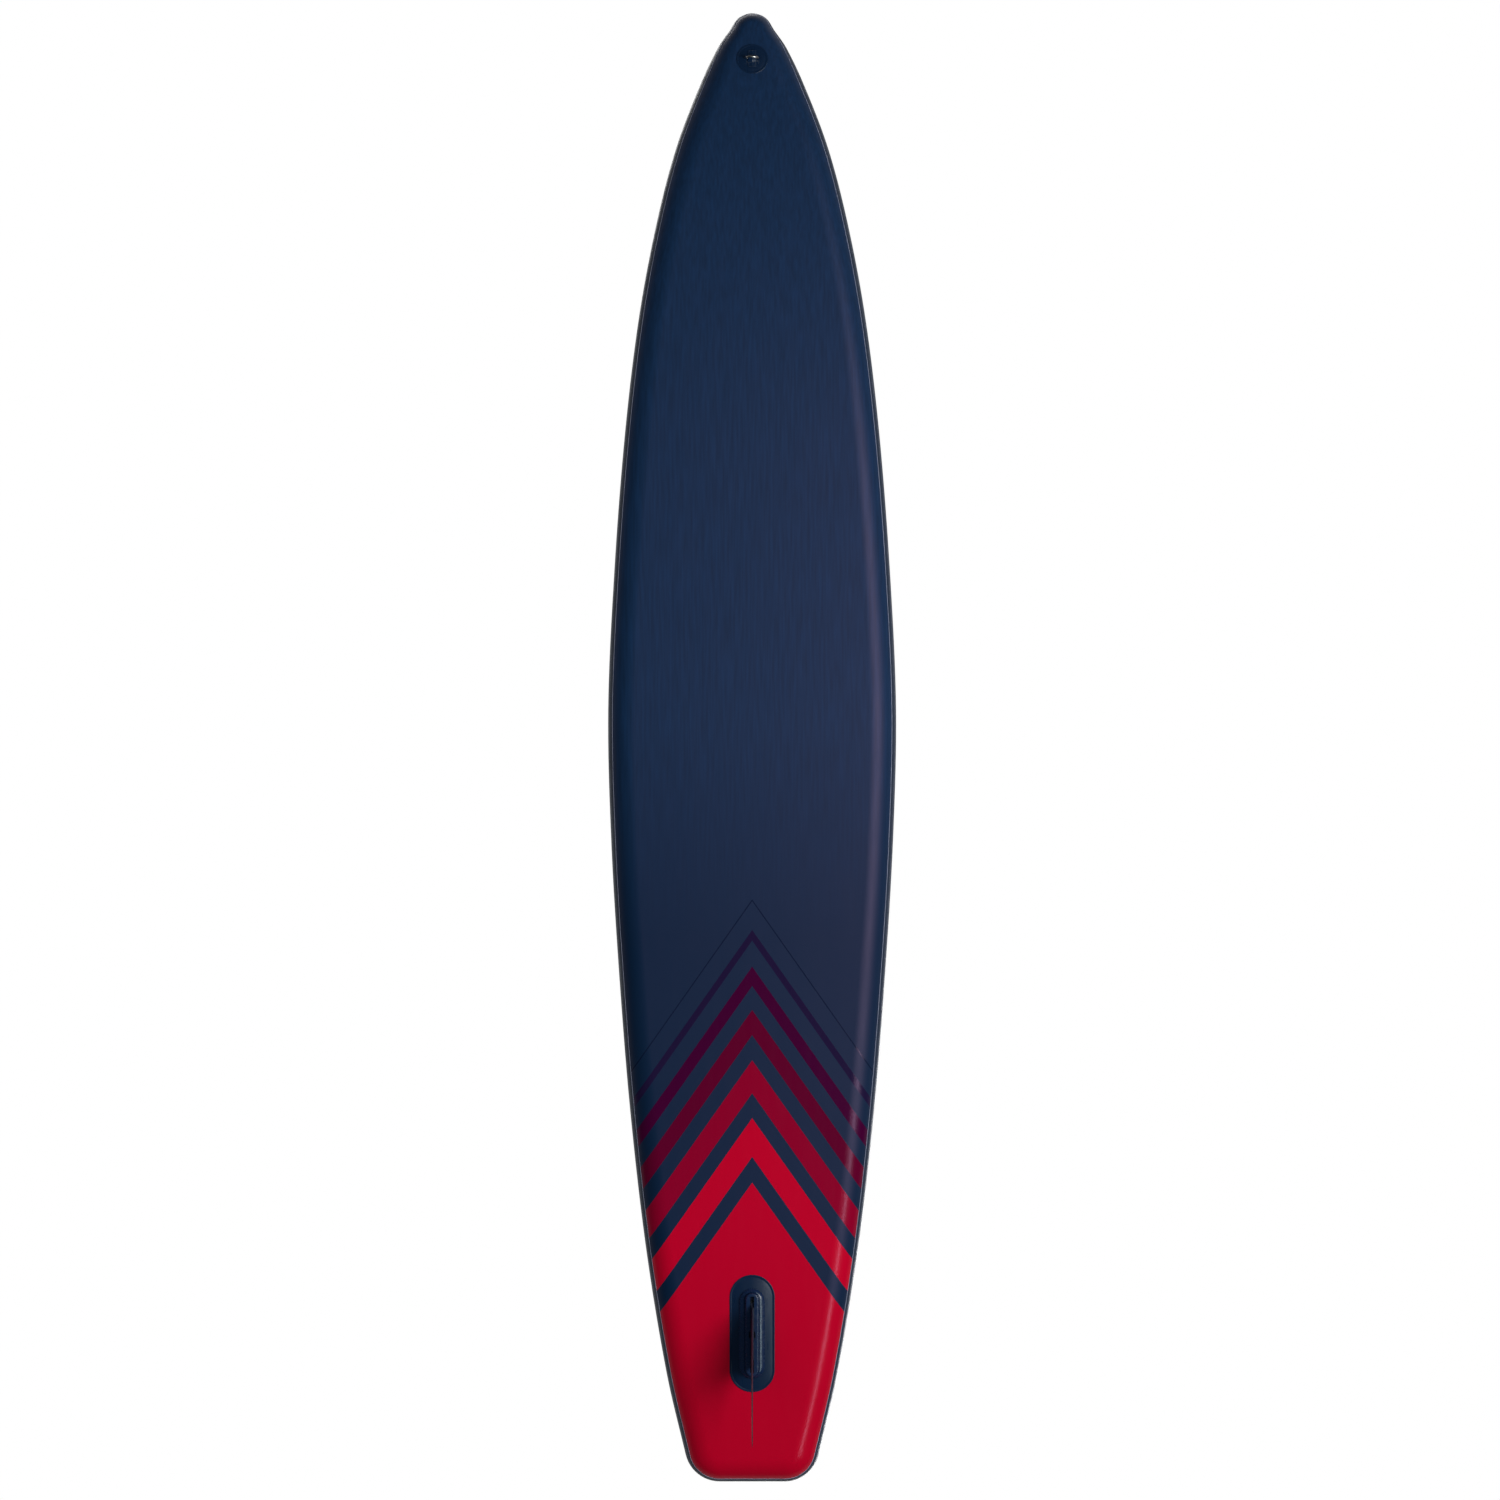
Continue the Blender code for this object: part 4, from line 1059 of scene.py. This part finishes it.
def make_fin_box(place):
    """The patch with its pressed rim, and the moulding with its slot, undercut and mouth."""
    outline = (
        (0.0, 0.0), (0.0, 0.0007), (0.0004, 0.0011), (0.0012, 0.0012), (0.0047, 0.0012), (0.0054, 0.0009),
        (0.0062, 0.0009), (0.0069, 0.0012))
    half, length = FIN_PATCH_HALF
    rings = [[(x, y, z) for x, y in stadium(half - inset, length - inset, 36)] for inset, z in outline]
    loft(
        "fin_box_patch_pvc", rings, PATCH_PVC, place=place, replaced=("fin_box_patch",), slot="navy_pvc",
        sharp=60.0)
    base = FIN_PATCH + CLEAR
    shape = (
        (0.0322, 0.1152, 0.0), (0.0325, 0.1155, 0.0004), (0.0325, 0.1155, 0.0030),
        (0.0320, 0.1150, 0.0040), (0.0308, 0.1140, 0.0050), (0.0285, 0.1125, 0.0066),
        (0.0255, 0.1110, 0.0084), (0.0225, 0.1098, 0.0098), (0.0208, 0.1090, 0.0102),
        (0.0198, 0.1085, 0.0096), (0.0188, 0.1080, 0.0090), (0.0180, 0.1076, 0.0094),
        (0.0174, 0.1072, 0.0115), (0.0170, 0.1070, 0.0190), (0.0166, 0.1067, 0.0215),
        (0.0158, 0.1060, 0.0231), (0.0147, 0.1050, 0.0238), (0.0136, 0.1040, 0.0240),
        (0.0092, 0.1020, 0.0240))
    rings = [[(x, y, base + z) for x, y in stadium(half, length, 28)] for half, length, z in shape]
    moulding = loft(
        "fin_box_moulding", rings, BOX_PLASTIC, place=place, replaced=("fin_box",), slot="moulded_plastic",
        sharp=40.0)
    top = base + FIN_BOX_HEIGHT + 0.01
    cutters = []
    for half, end, low, high in (
        (0.0049, 0.098, base + 0.004, top), (0.0082, 0.098, base + 0.0075, base + 0.0135),
        (0.0083, 0.0083, base + 0.0076, top)):
        cutters.append(block("slot", (-half, -end, low), (half, end, high), place, STEEL))
    carve(moulding, cutters, 40.0)


def make_fin(place):
    """The raked blade, the tongue and tab that hold it in the slot, and its screw."""
    leading = ((0.0795, 0.0), (0.046, 0.090), (-0.070, 0.195), (-0.236, FIN_DEPTH))
    trailing = ((-0.0825, 0.0), (-0.098, 0.070), (-0.135, 0.150), (-0.252, FIN_DEPTH))
    base = FIN_PATCH + CLEAR
    root = base + FIN_BOX_HEIGHT + 0.0006
    rings = []
    for t in spaced(0.0, 1.0, 56):
        lead, trail = bezier(leading, t), bezier(trailing, t)
        thick = FIN_THICK[0] + (FIN_THICK[1] - FIN_THICK[0]) * t
        if t > 0.985:
            thick *= 0.75
        right = []
        for k in range(25):
            u = (1 - math.cos(math.pi * k / 24)) / 2
            lens = 0.12 + 0.88 * (4 * u * (1 - u)) ** 0.75 * (1.25 - 0.5 * u)
            point = lead + (trail - lead) * u
            right.append((thick / 2 * lens, point[0], root + point[1]))
        rings.append(right + [(-x, y, z) for x, y, z in reversed(right)])
    loft(
        "fin_blade", rings, FIN_PLASTIC, place=place, body="fin_unit", replaced=("fin",), slot="fin_plastic",
        sharp=70.0)
    half = 0.0045
    for name, low, high in (
        ("fin_tongue", (-half, -0.066, base + 0.0044), (half, 0.070, root + 0.0006)),
        ("fin_tab", (-half, 0.060, base + 0.0139), (half, 0.0935, base + 0.0169))):
        eased_block(name, low, high, place, FIN_PLASTIC, "fin_unit", 0.0006, 3)
    screw = place.copy()
    screw.translation = JOINTS["fin_screw_turn"]["pos_m"]
    under = base + 0.0169 + CLEAR
    head = [
        (0, under - 0.012), (0.0020, under - 0.012), (0.0020, under), (0.0044, under),
        (0.0044, under + 0.0042), (0.0030, under + 0.0042), (0.0027, under + 0.0024), (0, under + 0.0024)]
    # The screw's steel is dark as painted shade.
    lathe(
        "fin_screw_steel", rounded(head, 0.0005), STEEL_PAINTED_SHADE, 48, place=screw, body="fin_screw_body",
        replaced=("fin_screw",), slot="stainless_steel", sharp=40.0)


# --- Valve -----------------------------------------------------------------------------------


def make_valve():
    """The flanged body with windows in its web, the seal under it, the plunger and its spring."""
    under, seat = VALVE_WEB
    body = [
        (0.0035, seat), (0.0150, seat), (0.0150, 0.0030), (0.0165, 0.0045), (0.0235, 0.0045),
        (0.0235, 0.0085), (0.0275, 0.0085), (0.0275, 0.0045), (0.0310, 0.0040), (0.0310, 0.0015),
        (0.0195, 0.0015), (0.0195, -VALVE_DEPTH), (0.0165, -VALVE_DEPTH), (0.0165, under), (0.0035, under),
        (0.0035, seat)]
    barrel = lathe(
        "valve_barrel", rounded(body, 0.0006)[:-1], VALVE_PLASTIC, 72, ring=True, place=VALVE,
        replaced=("valve_body",), slot="valve_plastic", sharp=40.0)
    windows = []
    for k in range(4):
        angle = math.pi / 4 + math.pi / 2 * k
        spot = VALVE @ Matrix.Translation((0.009 * math.cos(angle), 0.009 * math.sin(angle), seat))
        hole = [(0, -0.01), (0.0035, -0.01), (0.0035, 0.01), (0, 0.01)]
        windows.append(lathe("window", hole, STEEL, 24, place=spot, body=None))
    carve(barrel, windows)
    gasket = [(0.0200, 0.0), (0.0302, 0.0), (0.0302, GASKET), (0.0200, GASKET), (0.0200, 0.0)]
    lathe(
        "valve_seal", rounded(gasket, 0.0004)[:-1], RUBBER, 72, ring=True, place=VALVE,
        replaced=("valve_gasket",), slot="black_rubber")
    seal = under - CLEAR
    stem = [
        (0, -0.0015), (0.0065, -0.0015), (0.0065, STEM_HEAD), (0.0031, STEM_HEAD), (0.0031, seal),
        (0.0145, seal), (0.0145, seal - 0.0027), (0, seal - 0.0027)]
    lathe(
        "valve_stem", rounded(stem, 0.0006), VALVE_PLASTIC, 48, place=VALVE, body="plunger",
        replaced=("valve_plunger",), slot="valve_plastic")
    foot, top = seat + CLEAR, STEM_HEAD - CLEAR
    steps = 36
    coil = []
    for k, z in enumerate(spaced(foot + SPRING_WIRE, top - SPRING_WIRE, SPRING_TURNS * steps)):
        angle = 2 * math.pi * k / steps
        coil.append((SPRING_RADIUS * math.cos(angle), SPRING_RADIUS * math.sin(angle), z))
    spring = tube(
        "valve_coil", coil, SPRING_WIRE, STEEL, 12, closed_loop=False, place=VALVE,
        replaced=("valve_spring",), slot="stainless_steel")
    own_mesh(spring)


def make_cap():
    """A ribbed cap with a bar to turn it by, on a rubber tether."""
    profile = [
        (0, 0.0049), (0.0226, 0.0049), (0.0226, 0.0088), (0.0285, 0.0088), (0.0285, 0.0122),
        (0.0265, 0.0138), (0.018, 0.0138), (0.0172, 0.0130), (0, 0.0130)]

    def ribs(angle):
        return 0.0004 * math.sin(36 * angle)

    lathe(
        "valve_cap_cover", rounded(profile, 0.0007), VALVE_PLASTIC, 288, wave=ribs, place=VALVE, body="cap",
        replaced=("valve_cap",), slot="valve_plastic", sharp=50.0)
    rings = []
    for z, x, y in (
        (0.0128, 0.0032, 0.0172), (0.0170, 0.0028, 0.0170), (0.0181, 0.0023, 0.0165),
        (0.0185, 0.0014, 0.0155)):
        rings.append([(u, v, z) for u, v in stadium(x, y, 12)])
    loft("valve_cap_bar", rings, VALVE_PLASTIC, place=VALVE, body="cap", slot="valve_plastic")
    eased_block(
        "valve_cap_ear", (-0.0350, -0.004, 0.0091), (-0.0270, 0.004, 0.0119), VALVE, VALVE_PLASTIC, "cap",
        0.0012, 4)
    ring = [(0.0278, 0.0049), (0.0305, 0.0049), (0.0305, 0.0061), (0.0278, 0.0061), (0.0278, 0.0049)]
    lathe(
        "valve_tether", rounded(ring, 0.0004)[:-1], RUBBER, 72, ring=True, place=VALVE,
        replaced=("cap_tether",), slot="black_rubber")
    rings = [
        [(x - 0.0345, y, z) for x, y in stadium(0.0050 - ease_in, 0.0065 - ease_in, 10)]
        for z, ease_in in ((0.0049, 0.0004), (0.0053, 0.0), (0.0057, 0.0), (0.0061, 0.0004))]
    loft("valve_tether_tab", rings, RUBBER, place=VALVE, slot="black_rubber")


def finish_hidden_nodes():
    """What lies inside the chamber or the fin box keeps its CAD shape, with a proper material."""
    looks = {
        "stitch_sheet": STITCH_CLOTH, "thread_curtain": STITCH_CLOTH, "valve_nut": VALVE_PLASTIC,
        "fin_cross_pin": STEEL, "fin_nut_plate": STEEL}
    for name, node in frame["nodes"].items():
        for start, look in looks.items():
            if name.startswith(start):
                for slot in node.material_slots:
                    slot.material = look


# --- Studio ----------------------------------------------------------------------------------


def make_floor(height):
    """A pale floor that is seen from above only, so that the hull can be seen from below."""
    look = Look("floor", "f2f2f0", 0.9, Emission_Color=(1.0, 1.0, 1.0, 1.0), Emission_Strength=FLOOR_GLOW)
    back = look.node("NewGeometry").outputs["Backfacing"]
    clear = look.node("BsdfTransparent")
    look.dye(look.noise(30.0), "f4f4f2", "ededeb")
    both = look.node("MixShader", {0: back, 1: look.shader.outputs[0], 2: clear.outputs[0]})
    output = look.tree.nodes["Material Output"]
    look.tree.links.new(both.outputs[0], output.inputs["Surface"])
    mesh = bpy.data.meshes.new("floor")
    corners = [(x * FLOOR_HALF, y * FLOOR_HALF, 0) for x, y in ((-1, -1), (1, -1), (1, 1), (-1, 1))]
    mesh.from_pydata(corners, [], [(0, 1, 2, 3)])
    mesh.materials.append(look.material)
    floor = bpy.data.objects.new("floor", mesh)
    floor.location = (0, 0, height)
    for ray in ("diffuse", "glossy", "transmission", "shadow"):
        setattr(floor, f"visible_{ray}", False)
    bpy.context.scene.collection.objects.link(floor)


def add_light(name, spot, target, size, power, mirrored=True, lighting=True, tint=(1.0, 1.0, 1.0)):
    """A soft lamp. It can light a surface without showing in its gloss, or only show in it."""
    data = bpy.data.lights.new(name, "AREA")
    data.shape = "RECTANGLE"
    data.size, data.size_y = size
    data.energy = power
    data.color = tint
    lamp = bpy.data.objects.new(name, data)
    lamp.location = spot
    lamp.visible_glossy = mirrored
    lamp.visible_diffuse = lighting
    lamp.rotation_euler = (Vector(target) - Vector(spot)).to_track_quat("-Z", "Y").to_euler()
    bpy.context.scene.collection.objects.link(lamp)


def make_world():
    """White to the camera, even light on the board, and reflections that fade to dark straight below."""
    world = bpy.data.worlds.new("studio")
    bpy.context.scene.world = world
    world.use_nodes = True
    graph = Graph(world.node_tree)
    rays = graph.node("LightPath").outputs
    way = graph.node("SeparateXYZ", {0: graph.node("TexCoord").outputs["Generated"]})
    fade = graph.ranged(way.outputs[2], 0.0, REFLECTED_FROM, *REFLECTED)
    light = graph.node("Mix", {0: rays["Is Diffuse Ray"], 2: fade, 3: WORLD_LIGHT}).outputs[0]
    strength = graph.node("Mix", {0: rays["Is Camera Ray"], 2: light, 3: 1.0}).outputs[0]
    background = world.node_tree.nodes["Background"]
    background.inputs["Color"].default_value = (1.0, 1.0, 1.0, 1.0)
    world.node_tree.links.new(strength, background.inputs["Strength"])
    bpy.context.scene.view_settings.view_transform = "Standard"


def make_camera():
    data = bpy.data.cameras.new("camera")
    data.sensor_width = 36.0
    data.lens = data.sensor_width * CAMERA_BELOW / VIEW_SIDE
    data.clip_end = 100.0
    camera = bpy.data.objects.new("camera", data)
    camera.location = (VIEW_CENTRE[0], VIEW_CENTRE[1], -CAMERA_BELOW)
    camera.rotation_euler = (0.0, math.pi, 0.0)
    bpy.context.scene.collection.objects.link(camera)
    bpy.context.scene.camera = camera


make_camera()
make_chamber()
make_pads()
make_rings()
for handle in HANDLES:
    make_handle(*handle)
fin_place = fin_frame()
make_fin_box(fin_place)
make_fin(fin_place)
make_valve()
make_cap()
finish_hidden_nodes()
make_floor(CAD_BOX[0][2] - 0.001)
add_light("key_port_low", (-3.9, -0.2, -5.0), (0, -0.2, 0), (2.2, 4.0), 315)
add_light(
    "strip_port_low", (-3.9, -0.2, -5.0), (0, -0.2, 0), (9.0, 1.0), 225, lighting=False,
    tint=(0.75, 1.0, 1.0))
add_light("fill_starboard_low", (3.0, 0.5, -6.5), (0, 0, 0), (3.5, 4.5), 60, mirrored=False)
add_light("top_key", (-1.3, -2.6, 6.0), (0, 0, 0.1), (3.0, 3.0), 330)
add_light("top_fill", (0.9, 3.4, 5.0), (0, 0, 0.1), (3.0, 3.0), 150)
make_world()
